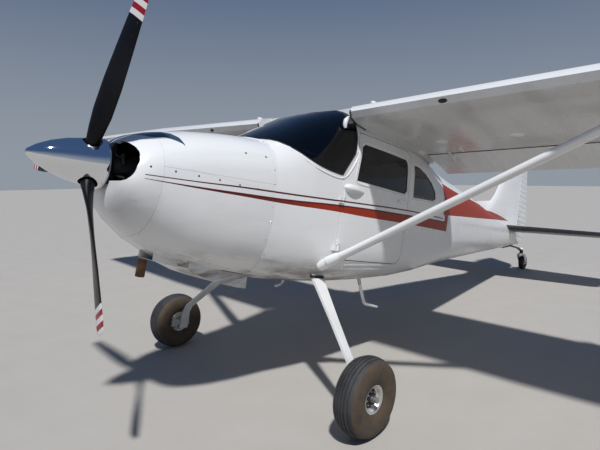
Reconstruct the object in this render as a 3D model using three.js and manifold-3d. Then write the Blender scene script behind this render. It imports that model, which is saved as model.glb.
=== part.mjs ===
// A four-seat, high-wing light aircraft on its tail-wheel landing gear, as an assembly of named
// pieces. Millimetres. The level frame of the airframe has +X to the aircraft's left, +Y aft from
// the firewall and +Z up from the propeller's axis. The airframe is then pitched nose up onto its
// three wheels, the way it parks. The origin is on the ground, in the middle of the whole outline.
import * as THREE from "three";
import { mergeVertices } from "three/addons/utils/BufferGeometryUtils.js";
import Module from "manifold-3d";

const wasm = await Module();
wasm.setup();

const rad = THREE.MathUtils.degToRad;

// Attitude and landing gear
const parkAngle = rad(10.5); // nose-up angle of the level frame on the ground
const mainTyreRadius = 258;
const mainTyreWidth = 196;
const axle = { x: 1150, y: 382, z: -1256 }; // centre of the left main tyre, level frame
const axleGroundY = -2402; // the same axle's place along the ground
const tailTyreRadius = 122;
const tailTyreWidth = 84;
const tailWheelBehindAxle = 6190; // along the ground
const tailTrail = 92; // tail wheel's centre behind its swivel

// Fit of neighbouring pieces
const seat = 0.3; // left between pieces that rest on each other
const runGap = 8; // round a moving surface
const panelGap = 6; // round a door
const doorHinge = { x: 578, y: 628 };
const wall = 28; // skin, frame and trim together

// Wing
const span = 10920;
const wingRootX = 300; // inside the cabin's roof, trimmed to it
const panelBreakX = 2540; // end of the constant chord
const rootChord = 1626;
const tipChord = 1118;
const leadingEdgeY = 612;
const leadingEdgeZ = 713;
const tipSweepY = 137; // the leading edge runs aft this much outboard of the break
const dihedral = rad(1.73);
const rootIncidence = rad(3);
const tipIncidence = rad(1);
const wingThickness = 0.12;
const wingCamber = 0.02;
const wingBluntness = 0.1;
const flapStart = 0.735; // share of the chord at the flap's nose circle
const flapSpan = [580, 2522];
const flapHingeDrop = 105; // the flap's hinge lies this far under its nose
const flapSet = rad(15); // where the flaps stand
const aileronStart = 0.77;
const aileronSpan = [2560, 5120];

// Propeller
const spinnerTipY = -1407;
const spinnerBaseY = -1006;
const spinnerRadius = 156;
const bladePlaneY = -1085;
const bladeRadius = 1031;
const firstBladeAngle = rad(32); // from straight up, towards the left
const hubRadius = 66;
// The engine stands a little nose down and to the right, which sets the propeller's axis.
const thrustLine = new THREE.Matrix4()
  .makeTranslation(0, -950, -9)
  .multiply(new THREE.Matrix4().makeRotationZ(rad(-0.8)))
  .multiply(new THREE.Matrix4().makeRotationX(rad(1)))
  .multiply(new THREE.Matrix4().makeTranslation(0, 950, 0));
const onThrustLine = (made) => made.transform(thrustLine.elements);

// Tail
const tailHalfSpan = 1651;
const stabiliserZ = 250;
const elevatorHingeY = 5800;
const elevatorTube = 16;
const rudderHingeY = 5905;
const finTopZ = 1550;

const paint = { white: 0xeef0f2, orange: 0xb0452a };
const material = (color, roughness = 0.4, metalness = 0) =>
  new THREE.MeshStandardMaterial({ color, roughness, metalness });

// A closed three.js geometry as a solid that can be cut and joined.
function solid(geometry) {
  const bare = geometry.clone();
  for (const name of Object.keys(bare.attributes)) {
    if (name !== "position") bare.deleteAttribute(name);
  }
  const merged = mergeVertices(bare, 1e-3);
  const corners = new Uint32Array(merged.index.array);
  const build = () =>
    new wasm.Manifold(
      new wasm.Mesh({
        numProp: 3,
        vertProperties: new Float32Array(merged.attributes.position.array),
        triVerts: corners,
      }),
    );
  const made = build();
  if (made.volume() > 0) return made;
  for (let i = 0; i < corners.length; i += 3) {
    [corners[i + 1], corners[i + 2]] = [corners[i + 2], corners[i + 1]];
  }
  return build();
}

// A solid back as a three.js geometry.
function geometryOf(made) {
  const mesh = made.getMesh();
  const points = new Float32Array(mesh.numVert * 3);
  for (let i = 0; i < mesh.numVert; i += 1) {
    const at = i * mesh.numProp;
    points.set(mesh.vertProperties.subarray(at, at + 3), i * 3);
  }
  const geometry = new THREE.BufferGeometry();
  geometry.setAttribute("position", new THREE.BufferAttribute(points, 3));
  geometry.setIndex(new THREE.BufferAttribute(mesh.triVerts, 1));
  geometry.computeVertexNormals();
  return geometry;
}

const joined = (...parts) => parts.reduce((all, one) => all.add(one));

// A skin through rings of points, closed at both ends. Each ring is flat in the two named axes.
function loft(rings, across = "x", up = "z") {
  const count = rings[0].length;
  const points = rings.flat().flatMap((p) => [p.x, p.y, p.z]);
  const faces = [];
  for (let r = 0; r + 1 < rings.length; r += 1) {
    for (let i = 0; i < count; i += 1) {
      const j = (i + 1) % count;
      const a = r * count;
      const b = a + count;
      // Quads on the right are split the other way, so that both sides come out alike.
      if (rings[r][i].x + rings[r][j].x < -1e-6) faces.push(a + i, a + j, b + i, a + j, b + j, b + i);
      else faces.push(a + i, a + j, b + j, a + i, b + j, b + i);
    }
  }
  const cap = (ring, base, alongRing) => {
    const flat = ring.map((p) => new THREE.Vector2(p[across], p[up]));
    const keep = THREE.ShapeUtils.area(flat) > 0 === alongRing;
    for (const [a, b, c] of THREE.ShapeUtils.triangulateShape(flat, [])) {
      faces.push(...(keep ? [base + a, base + b, base + c] : [base + a, base + c, base + b]));
    }
  };
  cap(rings[0], 0, false);
  cap(rings.at(-1), (rings.length - 1) * count, true);
  const geometry = new THREE.BufferGeometry();
  geometry.setAttribute("position", new THREE.Float32BufferAttribute(points, 3));
  geometry.setIndex(faces);
  return solid(geometry);
}

const box = (x0, x1, y0, y1, z0, z1) =>
  solid(
    new THREE.BoxGeometry(x1 - x0, y1 - y0, z1 - z0).translate((x0 + x1) / 2, (y0 + y1) / 2, (z0 + z1) / 2),
  );

// An outline of [y, z] pairs, seen from the side, made solid from x0 to x1.
function sidePrism(outline, x0, x1) {
  const shape = new THREE.Shape(outline.map(([y, z]) => new THREE.Vector2(y, z)));
  const geometry = new THREE.ExtrudeGeometry(shape, { depth: x1 - x0, bevelEnabled: false });
  const turn = new THREE.Matrix4().set(0, 0, 1, x0, 1, 0, 0, 0, 0, 1, 0, 0, 0, 0, 0, 1);
  return solid(geometry.applyMatrix4(turn));
}

// An outline of [x, y] pairs, seen from above, made solid from z0 to z1.
function planPrism(outline, z0, z1) {
  const shape = new THREE.Shape(outline.map(([x, y]) => new THREE.Vector2(x, y)));
  const geometry = new THREE.ExtrudeGeometry(shape, { depth: z1 - z0, bevelEnabled: false });
  return solid(geometry.translate(0, 0, z0));
}

// A round bar, tapered if its radii differ, between two points.
function bar(from, to, radius, endRadius = radius, sides = 16) {
  const along = new THREE.Vector3().subVectors(to, from);
  const turn = new THREE.Quaternion().setFromUnitVectors(
    new THREE.Vector3(0, 1, 0),
    along.clone().normalize(),
  );
  const middle = new THREE.Vector3().addVectors(from, to).multiplyScalar(0.5);
  const geometry = new THREE.CylinderGeometry(endRadius, radius, along.length(), sides);
  return solid(geometry.applyQuaternion(turn).translate(middle.x, middle.y, middle.z));
}

const at = (x, y, z) => new THREE.Vector3(x, y, z);

// A profile of [radius, place] pairs turned about the line along X or Y.
function turned(profile, axis, centre, segments = 32) {
  const geometry = new THREE.LatheGeometry(
    profile.map(([r, p]) => new THREE.Vector2(r, p)),
    segments,
  );
  if (axis === "x") geometry.rotateZ(-Math.PI / 2);
  return solid(geometry.translate(centre.x, centre.y, centre.z));
}

// A value between the rows of a table, on a smooth curve through them.
function smoothAt(rows, column, station) {
  const last = rows.length - 1;
  if (station <= rows[0].y) return rows[0][column];
  if (station >= rows[last].y) return rows[last][column];
  const i = rows.findIndex((row) => row.y > station) - 1;
  const slope = (k) => {
    const low = rows[Math.max(k - 1, 0)];
    const high = rows[Math.min(k + 1, last)];
    return (high[column] - low[column]) / (high.y - low.y);
  };
  const width = rows[i + 1].y - rows[i].y;
  const t = (station - rows[i].y) / width;
  const [a, b] = [rows[i][column], rows[i + 1][column]];
  const bend = t * (1 - t) * width;
  return a + (b - a) * t * t * (3 - 2 * t) + bend * ((1 - t) * slope(i) - t * slope(i + 1));
}

// Sections of the fuselage. y: station, half: half width, top and low: heights, wide: height of the
// greatest width, topPower and lowPower: how square the upper and lower halves are.
const column = (y, half, top, low, wide, topPower, lowPower) => ({ y, half, top, low, wide, topPower, lowPower });
const fuselageRows = [
  column(-10, 500, 388, -640, -20, 2.7, 3.0),
  column(130, 515, 470, -650, 0, 2.8, 3.4),
  column(320, 535, 578, -655, 20, 3.1, 4.0),
  column(590, 562, 738, -652, 60, 3.6, 4.6),
  column(760, 574, 800, -648, 80, 4.0, 4.8),
  column(1150, 586, 826, -628, 80, 4.2, 4.8),
  column(1600, 588, 800, -590, 80, 3.9, 4.6),
  column(2050, 572, 722, -530, 80, 3.0, 4.2),
  column(2400, 545, 650, -470, 80, 2.6, 3.8),
  column(2760, 506, 606, -415, 85, 2.5, 3.4),
  column(3400, 424, 545, -335, 95, 2.5, 3.0),
  column(4200, 312, 440, -232, 105, 2.4, 2.6),
  column(5000, 198, 343, -124, 120, 2.3, 2.4),
  column(5600, 112, 290, -40, 130, 2.2, 2.2),
  column(5850, 62, 268, 0, 135, 2.2, 2.2),
];
const cowlRows = [
  column(-985, 285, 96, -180, -90, 2.2, 1.9),
  column(-972, 335, 128, -235, -90, 2.2, 1.85),
  column(-940, 372, 160, -295, -80, 2.2, 1.9),
  column(-880, 394, 198, -366, -60, 2.3, 2.05),
  column(-760, 416, 246, -458, -40, 2.4, 2.3),
  column(-560, 442, 300, -556, -28, 2.5, 2.6),
  column(-300, 474, 348, -618, -24, 2.6, 2.8),
  column(-10, 500, 388, -640, -20, 2.7, 3.0),
];
const ringPoints = 28;

// One section of a hull table, drawn in or out by an inset and never lower than a floor.
function hullRing(rows, y, inset = 0, floorZ = -Infinity) {
  const value = (name) => smoothAt(rows, name, y);
  const [half, wide] = [value("half") - inset, value("wide")];
  const [rise, drop] = [value("top") - inset - wide, wide - value("low") - inset];
  const ring = [];
  for (let i = 0; i < ringPoints; i += 1) {
    const angle = (i / ringPoints) * Math.PI * 2;
    const [c, s] = [Math.cos(angle), Math.sin(angle)];
    const power = 2 / (s >= 0 ? value("topPower") : value("lowPower"));
    const x = half * Math.sign(c) * Math.abs(c) ** power;
    const z = wide + (s >= 0 ? rise : drop) * Math.sign(s) * Math.abs(s) ** power;
    ring.push(at(x, y, Math.max(z, floorZ)));
  }
  return ring;
}

const hull = (rows, stations, inset, floorZ) => loft(stations.map((y) => hullRing(rows, y, inset, floorZ)));
const stationsOf = (rows, from, to) => [
  from,
  ...rows.map((row) => row.y).filter((y) => y > from + 1 && y < to - 1),
  to,
];

const cabinStart = 0;
const cabinEnd = 2740;
const coneEnd = 5850;
const floorZ = -560;
const cabinStations = [0, 130, 320, 450, 590, 760, 1150, 1600, 2050, 2400, 2740];
const fuselageOuter = hull(fuselageRows, [...cabinStations, 3400, 4200, 5000, 5600, coneEnd]);
const fuselageFit = hull(fuselageRows, [-8, ...cabinStations.slice(1), 3400, 4200, 5000, 5600, 5858], -0.5);
const cabinOuter = hull(fuselageRows, cabinStations);
const innerStations = [-50, ...cabinStations.slice(1, -1), cabinEnd + 40];
const cabinInner = hull(fuselageRows, innerStations, wall, floorZ);
const cabinRoom = hull(fuselageRows, innerStations, wall + seat, floorZ + seat); // what stands in the cabin fits it

// Side-view outlines, [y, z].
const farY = 3000;
const windshieldOutline = [
  [-60, 372],
  [40, 372],
  [100, 352],
  [170, 318],
  [250, 282],
  [350, 246],
  [450, 228],
  [530, 219],
  [606, 212],
  [738, 420],
  [746, 520],
  [755 - seat, 612],
  [755 - seat, 900],
  [-60, 900],
];
const doorOutline = [
  [622, -436],
  [1500, -436],
  [1532, -400],
  [1532, 560],
  [1500, 592],
  [806, 592],
  [778, 560],
  [770, 430],
  [646, 222],
  [622, 190],
];
const doorWindowOutline = [
  [776, 200],
  [1470, 198],
  [1503, 230],
  [1486, 482],
  [1456, 508],
  [850, 508],
  [815, 480],
];
const rearWindowOutline = [
  [1622, 190],
  [2030, 214],
  [2078, 240],
  [2068, 300],
  [1990, 386],
  [1860, 452],
  [1720, 486],
  [1626, 490],
  [1606, 470],
];

// Moves an outline's points out from its middle by about a gap.
function grown(outline, gap) {
  const centre = outline.reduce((sum, [y, z]) => [sum[0] + y / outline.length, sum[1] + z / outline.length], [0, 0]);
  return outline.map(([y, z]) => [y + Math.sign(y - centre[0]) * gap, z + Math.sign(z - centre[1]) * gap]);
}

const pieces = [];
// Names a solid as a piece of one of the moving bodies, with its finish.
function piece(name, made, finish, body = "airframe") {
  const mesh = new THREE.Mesh(geometryOf(made), finish);
  mesh.name = name;
  pieces.push({ mesh, body });
}

const white = material(paint.white, 0.25);
const glass = material(0x27323a, 0.05);
const darkMetal = material(0x2b2b2d, 0.6, 0.4);
const castMetal = material(0x8d9094, 0.5, 0.7);
const rubber = material(0x2a2826, 0.85);
const cloth = material(0x6d6357, 0.9);

const sides = [
  { name: "left", sign: 1 },
  { name: "right", sign: -1 },
];
const mirrored = (made, sign) => (sign > 0 ? made : made.mirror([1, 0, 0]));
const sideBox = (sign, inner) => (sign > 0 ? box(inner, 2000, -2000, 7000, -2000, 3000) : box(-2000, -inner, -2000, 7000, -2000, 3000));

// Cabin: roof, sides, belly, doors, windows, bulkheads and what is seen through the glass.
function makeCabin() {
  const shell = cabinOuter.subtract(cabinInner);
  const wide = 900;
  const glassCut = sidePrism(windshieldOutline, -wide, wide);
  const roofCut = sidePrism([[755, 612], [farY, 612], [farY, 1000], [755, 1000]], -wide, wide);
  const bellyCut = sidePrism([[-100, -470], [farY, -470], [farY, -900], [-100, -900]], -wide, wide);
  const seatCut = (outline) => sidePrism(grown(outline, seat), -wide, wide);

  piece("windshield", shell.intersect(glassCut), glass);
  piece("cabin_roof", shell.intersect(roofCut), white);
  piece("cabin_belly", shell.intersect(bellyCut), white);

  const openings = [seatCut(windshieldOutline), roofCut.translate([0, -seat, -seat]), bellyCut.translate([0, 0, seat])];
  const doorHole = sidePrism(grown(doorOutline, panelGap), -wide, wide);
  const windowHole = sidePrism(rearWindowOutline, -wide, wide);
  // The doors' hinges: a knuckle of the door stands on one of the side wall.
  const knuckles = { moving: [], fixed: [] };
  for (const z of [-330, 40]) {
    const knuckle = (z0, z1) => bar(at(doorHinge.x, doorHinge.y, z0), at(doorHinge.x, doorHinge.y, z1), 9, 9, 14);
    knuckles.moving.push(knuckle(z + seat, z + 40), box(545, doorHinge.x, 624, 650, z + 4, z + 40));
    knuckles.fixed.push(knuckle(z - 40, z), box(545, doorHinge.x, 590, 614, z - 40, z), box(569, doorHinge.x, 590, 628, z - 40, z));
  }
  const sideWalls = openings.concat([doorHole, windowHole]).reduce((left, cut) => left.subtract(cut), shell);
  for (const { name, sign } of sides) {
    const sideWall = sideWalls.intersect(sideBox(sign, seat / 2));
    piece(`cabin_side_${name}`, joined(sideWall, ...knuckles.fixed.map((one) => mirrored(one, sign))), white);
    const window = sidePrism(grown(rearWindowOutline, -seat), -wide, wide);
    const paneOf = (cut, inset, thick) =>
      hull(fuselageRows, cabinStations, inset)
        .subtract(hull(fuselageRows, innerStations, inset + thick))
        .intersect(cut)
        .intersect(sideBox(sign, 0));
    piece(`rear_window_${name}`, paneOf(window, 6, 10), glass);

    const door = shell
      .intersect(sidePrism(doorOutline, -wide, wide))
      .subtract(sidePrism(doorWindowOutline, -wide, wide))
      .intersect(sideBox(sign, 0));
    const handle = mirrored(box(574, 604, 1372, 1480, 112, 130), sign);
    piece(`door_${name}`, joined(door, handle, ...knuckles.moving.map((one) => mirrored(one, sign))), white, `door_${name}`);
    const pane = sidePrism(grown(doorWindowOutline, -seat), -wide, wide);
    piece(`door_window_${name}`, paneOf(pane, 6, 10), glass, `door_${name}`);
  }

  piece("firewall", hull(fuselageRows, [-10, -seat], 30), castMetal);
  piece("baggage_bulkhead", cabinRoom.intersect(box(-900, 900, 2660, 2680, -900, 900)), cloth);

  const panelSolid = cabinRoom.intersect(box(-900, 900, 300, 330, -150, 300));
  const shelf = cabinRoom.intersect(box(-900, 900, 60, 372, 290, 312));
  piece("instrument_panel", joined(panelSolid, shelf), darkMetal);
}

// Seats: a frame on the floor, with a cushion and a back on it.
function makeSeats() {
  const front = (x) => ({ x, half: 215, y: 760, length: 470, base: -250, top: 300, lean: 95 });
  const rows = [
    { name: "front_seat_left", ...front(262) },
    { name: "front_seat_right", ...front(-262) },
    { name: "rear_bench", x: 0, half: 470, y: 1690, length: 430, base: floorZ + seat, cushionTop: -150, top: 290, lean: 100 },
  ];
  for (const { name, x, half, y, length, base, cushionTop = base + 110, top, lean } of rows) {
    const thick = 110;
    const cushion = [
      [y, base],
      [y + length, base],
      [y + length + lean, top],
      [y + length + lean - thick, top],
      [y + length - thick, cushionTop + 20],
      [y, cushionTop],
    ];
    piece(`${name}_pad`, sidePrism(cushion, x - half, x + half).intersect(cabinRoom), cloth);
    if (base < floorZ + 10) continue;
    const rail = 30;
    const legs = [-1, 1].map((side) => {
      const mid = x + side * (half - 115);
      return sidePrism(
        [[y + 40, floorZ + seat], [y + length - 20, floorZ + seat], [y + length - 60, base - seat], [y + 80, base - seat]],
        mid - rail / 2,
        mid + rail / 2,
      );
    });
    const tie = box(x - half + 115, x + half - 115, y + 140, y + 190, base - 60, base - seat);
    piece(`${name}_frame`, joined(...legs, tie).intersect(cabinRoom), darkMetal);
  }
}

// Two control wheels on their shafts, out of the instrument panel.
function makeYokes() {
  const path = (x) =>
    new THREE.CatmullRomCurve3([
      at(x - 135, 470, 105),
      at(x - 150, 470, 30),
      at(x - 105, 470, -40),
      at(x, 470, -55),
      at(x + 105, 470, -40),
      at(x + 150, 470, 30),
      at(x + 135, 470, 105),
    ]);
  for (const { name, sign } of sides) {
    const x = sign * 262;
    const round = new THREE.Shape();
    round.absarc(0, 0, 13, 0, Math.PI * 2);
    const rim = new THREE.ExtrudeGeometry(round, { steps: 16, extrudePath: path(x), bevelEnabled: false, curveSegments: 4 });
    const shaft = bar(at(x, 330 + seat, -20), at(x, 474, -20), 14, 14, 10);
    const boss = box(x - 45, x + 45, 455, 485, -62, 10);
    piece(`control_wheel_${name}`, joined(solid(rim), shaft, boss), darkMetal);
  }
}

// Cowling: nose bowl with its two air inlets, upper and lower halves, engine inside.
function makeCowl() {
  const splitY = -800;
  const splitZ = (y) => THREE.MathUtils.mapLinear(y, -900, 0, 5, 35);
  const gap = 1;
  const outer = hull(cowlRows, stationsOf(cowlRows, -985, -1));
  const inner = hull(cowlRows, [-955, -880, -760, -560, -300, -10, 40], 24);
  const mouth = new THREE.Shape();
  const mouthInX = 100;
  const mouthRim = [[275, -106], [330, -92], [356, -55], [360, -5], [339, 48], [296, 90], [222, 122], [152, 136]];
  mouth.moveTo(mouthInX, -107);
  mouth.lineTo(...mouthRim[0]);
  mouth.splineThru(mouthRim.slice(1).map(([x, z]) => new THREE.Vector2(x, z)));
  mouth.lineTo(mouthInX, 136);
  const mouthSolid = solid(
    new THREE.ExtrudeGeometry(mouth, { depth: 230, bevelEnabled: false, curveSegments: 6 })
      .rotateX(Math.PI / 2)
      .translate(0, -900, 0),
  );
  const shaftHole = bar(at(0, -1100, 0), at(0, -900, 0), 92);
  const bottomExit = box(-250, 250, -190, 60, -800, -480);
  const pipeHole = bar(at(-268, -500, -320), at(-301, -500, -752), 46);
  let shell = outer.subtract(inner).subtract(mouthSolid).subtract(mirrored(mouthSolid, -1));
  shell = shell.subtract(shaftHole).subtract(bottomExit).subtract(pipeHole);
  const half = (lift, edgeZ) => {
    const [front, back] = [splitY + gap, 100];
    return sidePrism([[front, splitZ(front) + lift], [back, splitZ(back) + lift], [back, edgeZ], [front, edgeZ]], -900, 900);
  };
  piece("nose_bowl", shell.intersect(box(-900, 900, -1200, splitY, -900, 900)), white);
  piece("cowl_upper", shell.intersect(half(gap, 900)), white);
  piece("cowl_lower", shell.intersect(half(0, -900)), white);

  const duct = sidePrism([[-634, -566], [-634, -460], [-452, -532], [-452, -600]], -90, 108);
  const ductHole = sidePrism([[-704, -557], [-704, -470], [-520, -503], [-520, -573]], -80, 98);
  const grownCowl = hull(cowlRows, stationsOf(cowlRows, -985, -1), -seat);
  piece("air_scoop", duct.subtract(ductHole).subtract(grownCowl), white);
  for (const { name, sign } of sides) {
    const keel = [[-450, -590], [-430, -603], [-300, -655], [-150, -692], [0, -716], [52, -718]];
    const wedge = sidePrism([...keel, [52, -540], [-450, -540]], 4, 236);
    const room = sidePrism([[-400, -598], [-300, -640], [-150, -678], [0, -703], [80, -705], [80, -400], [-400, -400]], -10, 224);
    piece(`cowl_flap_${name}`, mirrored(wedge.subtract(room).subtract(grownCowl).subtract(fuselageFit), sign), white);
  }

  const block = box(-290, 290, -680, -150, -320, 110);
  const sump = box(-170, 170, -640, -190, -430, -310);
  const rearCase = box(-150, 150, -160, -10 - seat, -200, 60);
  const nose = bar(at(0, -670, 0), at(0, -960, 0), 62);
  const crank = onThrustLine(bar(at(0, -945, 0), at(0, spinnerBaseY + 9 + seat, 0), 56));
  piece("engine", joined(block, sump, rearCase, nose, crank), castMetal);
  const pipe = joined(
    bar(at(-272, -500, -320 - seat), at(-272, -500, -420), 34),
    bar(at(-272, -500, -408), at(-299, -500, -722), 34),
  );
  const bore = bar(at(-292, -500, -650), at(-301, -500, -752), 29);
  piece("exhaust_pipe", pipe.subtract(bore), material(0x6a4a2c, 0.7, 0.4));
}

// One wing section: a closed loop of points from the trailing edge over the top and back.
function wingRing(x, scale = 1, thicken = 1) {
  const outboard = THREE.MathUtils.clamp((x - panelBreakX) / (span / 2 - panelBreakX), 0, 1);
  const full = THREE.MathUtils.lerp(rootChord, tipChord, outboard);
  const chord = full * scale;
  const incidence = THREE.MathUtils.lerp(rootIncidence, tipIncidence, outboard);
  const startY = leadingEdgeY + tipSweepY * outboard + (full - chord) * 0.45;
  const startZ = leadingEdgeZ + (x - 548) * Math.tan(dihedral) - (full - chord) * 0.45 * Math.sin(incidence);
  return foilPoints(wingThickness * thicken, wingCamber, wingBluntness).map(([along, above]) =>
    at(
      x,
      startY + chord * (along * Math.cos(incidence) + above * Math.sin(incidence)),
      startZ + chord * (above * Math.cos(incidence) - along * Math.sin(incidence)),
    ),
  );
}

// A four-digit aerofoil: [share along the chord, share above it] round the section.
function foilPoints(thickness, camber = 0, blunt = 0, camberAt = 0.4, perSide = 12) {
  const upper = [];
  const lower = [];
  for (let i = 0; i <= perSide; i += 1) {
    const s = (1 - Math.cos((Math.PI * i) / perSide)) / 2;
    const half =
      5 * thickness *
      (0.2969 * Math.sqrt(s) - 0.126 * s - 0.3516 * s ** 2 + 0.2843 * s ** 3 - 0.1015 * s ** 4 + blunt * Math.sqrt(s) * (1 - s) ** 10);
    const mean =
      s < camberAt
        ? (camber / camberAt ** 2) * (2 * camberAt * s - s * s)
        : (camber / (1 - camberAt) ** 2) * (1 - 2 * camberAt + 2 * camberAt * s - s * s);
    upper.push([s, mean + half]);
    lower.push([s, mean - half]);
  }
  return [...upper.reverse(), ...lower.slice(1)];
}

// The middle of the left wing's section, and half its depth, at a share of the chord.
function wingMiddle(x, share) {
  const ring = wingRing(x);
  const half = (ring.length + 1) / 2;
  const pick = (points) => {
    const y = THREE.MathUtils.lerp(ring[half - 1].y, ring[0].y, share);
    const i = points.findIndex((p, k) => k > 0 && (points[k - 1].y - y) * (p.y - y) <= 0);
    const t = (y - points[i - 1].y) / (points[i].y - points[i - 1].y);
    return points[i - 1].clone().lerp(points[i], t);
  };
  const [top, low] = [pick(ring.slice(0, half)), pick(ring.slice(half - 1))];
  return { centre: top.clone().lerp(low, 0.5), radius: top.distanceTo(low) / 2 };
}

// Splits a surface off the back of a solid: a rounded nose on the hinge line in a round cove.
function splitSurface(whole, from, to, ends) {
  const inX = from.centre.x;
  const outX = to.centre.x;
  const strip = (a, b) => {
    const run = (x) => THREE.MathUtils.mapLinear(x, inX, outX, from.centre.y, to.centre.y);
    return planPrism([[a, run(a)], [b, run(b)], [b, 9000], [a, 9000]], -3000, 4000);
  };
  const nose = (extra, past) => {
    const along = to.centre.clone().sub(from.centre).normalize();
    return bar(
      from.centre.clone().addScaledVector(along, -past),
      to.centre.clone().addScaledVector(along, past),
      from.radius + extra,
      to.radius + extra,
      24,
    );
  };
  const moving = joined(whole.intersect(strip(inX, outX)), nose(0, 0));
  const cove = joined(strip(inX - ends, outX + ends), nose(runGap, ends));
  return { moving, fixed: whole.subtract(cove) };
}

const hinges = {};

// Two stubs that meet end to end on a hinge's line, the seat's gap apart: one moves, one is fixed.
function hingeStubs(hingeFrom, hingeTo, middle, reach, radius) {
  const along = hingeTo.clone().sub(hingeFrom).normalize();
  const place = (distance) => hingeTo.clone().addScaledVector(along, distance);
  return {
    moving: bar(place(middle - reach), place(middle - seat / 2), radius),
    fixed: bar(place(middle + seat / 2), place(middle + reach), radius),
  };
}

function makeWings() {
  const tipStart = 5330;
  const rings = [wingRing(wingRootX), wingRing(panelBreakX), wingRing(tipStart)];
  const tip = [
    { x: 5400, scale: 0.975, thicken: 0.9 },
    { x: 5440, scale: 0.925, thicken: 0.66 },
    { x: span / 2, scale: 0.86, thicken: 0.3 },
  ];
  rings.push(...tip.map(({ x, scale, thicken }) => wingRing(x, scale, thicken)));
  const whole = loft(rings, "y", "z");

  const flapEnds = flapSpan.map((x) => wingMiddle(x, flapStart));
  const withoutFlap = splitSurface(whole, flapEnds[0], flapEnds[1], runGap + 2);
  const aileronEnds = aileronSpan.map((x) => wingMiddle(x, aileronStart));
  const withoutBoth = splitSurface(withoutFlap.fixed, aileronEnds[0], aileronEnds[1], runGap);
  const stubs = hingeStubs(aileronEnds[0].centre, aileronEnds[1].centre, runGap / 2, 24, 11);
  const flapHinge = flapEnds.map((end) => end.centre.clone().add(at(0, 40, -flapHingeDrop)));
  const flapMounts = flapHangers(flapHinge);
  const rootNotch = box(0, 540, 0, 760, 400, 1200);
  const wing = joined(withoutBoth.fixed.subtract(fuselageFit).subtract(rootNotch), stubs.fixed, ...flapMounts.fixed);

  const strutFoot = at(520, 552, -492);
  const strutHead = at(2450, 1010, 700);
  const strut = strutBetween(strutFoot, strutHead);

  for (const { name, sign } of sides) {
    const flip = (made) => mirrored(made, sign);
    piece(`wing_${name}`, flip(wing), white);
    hinges[`flap_${name}`] = flapHinge.map((p) => at(p.x * sign, p.y, p.z));
    hinges[`aileron_${name}`] = aileronEnds.map(({ centre: p }) => at(p.x * sign, p.y, p.z));
    piece(`flap_${name}`, flip(joined(withoutFlap.moving, ...flapMounts.moving)), white, `flap_${name}`);
    piece(`aileron_${name}`, flip(joined(withoutBoth.moving, stubs.moving)), white, `aileron_${name}`);
    const fixedStrut = strut.subtract(wing.translate([0, 0, -seat])).subtract(fuselageFit);
    piece(`wing_strut_${name}`, flip(fixedStrut), white);
  }
}

// Under each flap, two of its arms turn beside two hangers of the wing, on one line.
function flapHangers([inner, outer]) {
  const along = outer.clone().sub(inner).normalize();
  const moving = [];
  const fixed = [];
  for (const share of [0.12, 0.88]) {
    const foot = inner.clone().lerp(outer, share);
    const plate = (outline, side) =>
      sidePrism(outline.map(([y, z]) => [foot.y + y, foot.z + z]), foot.x + side - 4, foot.x + side + 4);
    const boss = (a, b) => bar(foot.clone().addScaledVector(along, a), foot.clone().addScaledVector(along, b), 15);
    moving.push(plate([[-13, -8], [13, -8], [56, 80], [-8, 80]], 0), boss(-4, 10 - seat / 2));
    fixed.push(plate([[-13, -8], [13, -8], [10, 10], [-100, 58], [-108, 82], [-200, 82], [-200, 64]], 20), boss(10 + seat / 2, 24));
  }
  return { moving, fixed };
}

// A streamlined strut with a swollen cuff at its foot.
function strutBetween(foot, head) {
  const stations = [
    { share: -0.01, length: 148, depth: 74 },
    { share: 0.05, length: 156, depth: 78 },
    { share: 0.085, length: 130, depth: 54 },
    { share: 0.5, length: 128, depth: 52 },
    { share: 0.97, length: 128, depth: 52 },
    { share: 1.02, length: 140, depth: 58 },
  ];
  const along = head.clone().sub(foot).normalize();
  const aft = at(0, 1, 0).addScaledVector(along, -along.y).normalize();
  const thick = along.clone().cross(aft).normalize();
  const rings = stations.map(({ share, length, depth }) => {
    const centre = foot.clone().lerp(head, share);
    return foilPoints(1, 0, 0, 0.4, 9).map(([s, h]) =>
      centre
        .clone()
        .addScaledVector(aft, (s - 0.42) * length)
        .addScaledVector(thick, h * depth),
    );
  });
  return loft(rings, "y", "z");
}

// A symmetrical tail section between a leading and a trailing edge.
function tailRing(placeOf, start, end, thickness) {
  return foilPoints(thickness, 0, 0, 0.4, 10).map(([s, h]) => placeOf(start + (end - start) * s, h * (end - start)));
}

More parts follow.
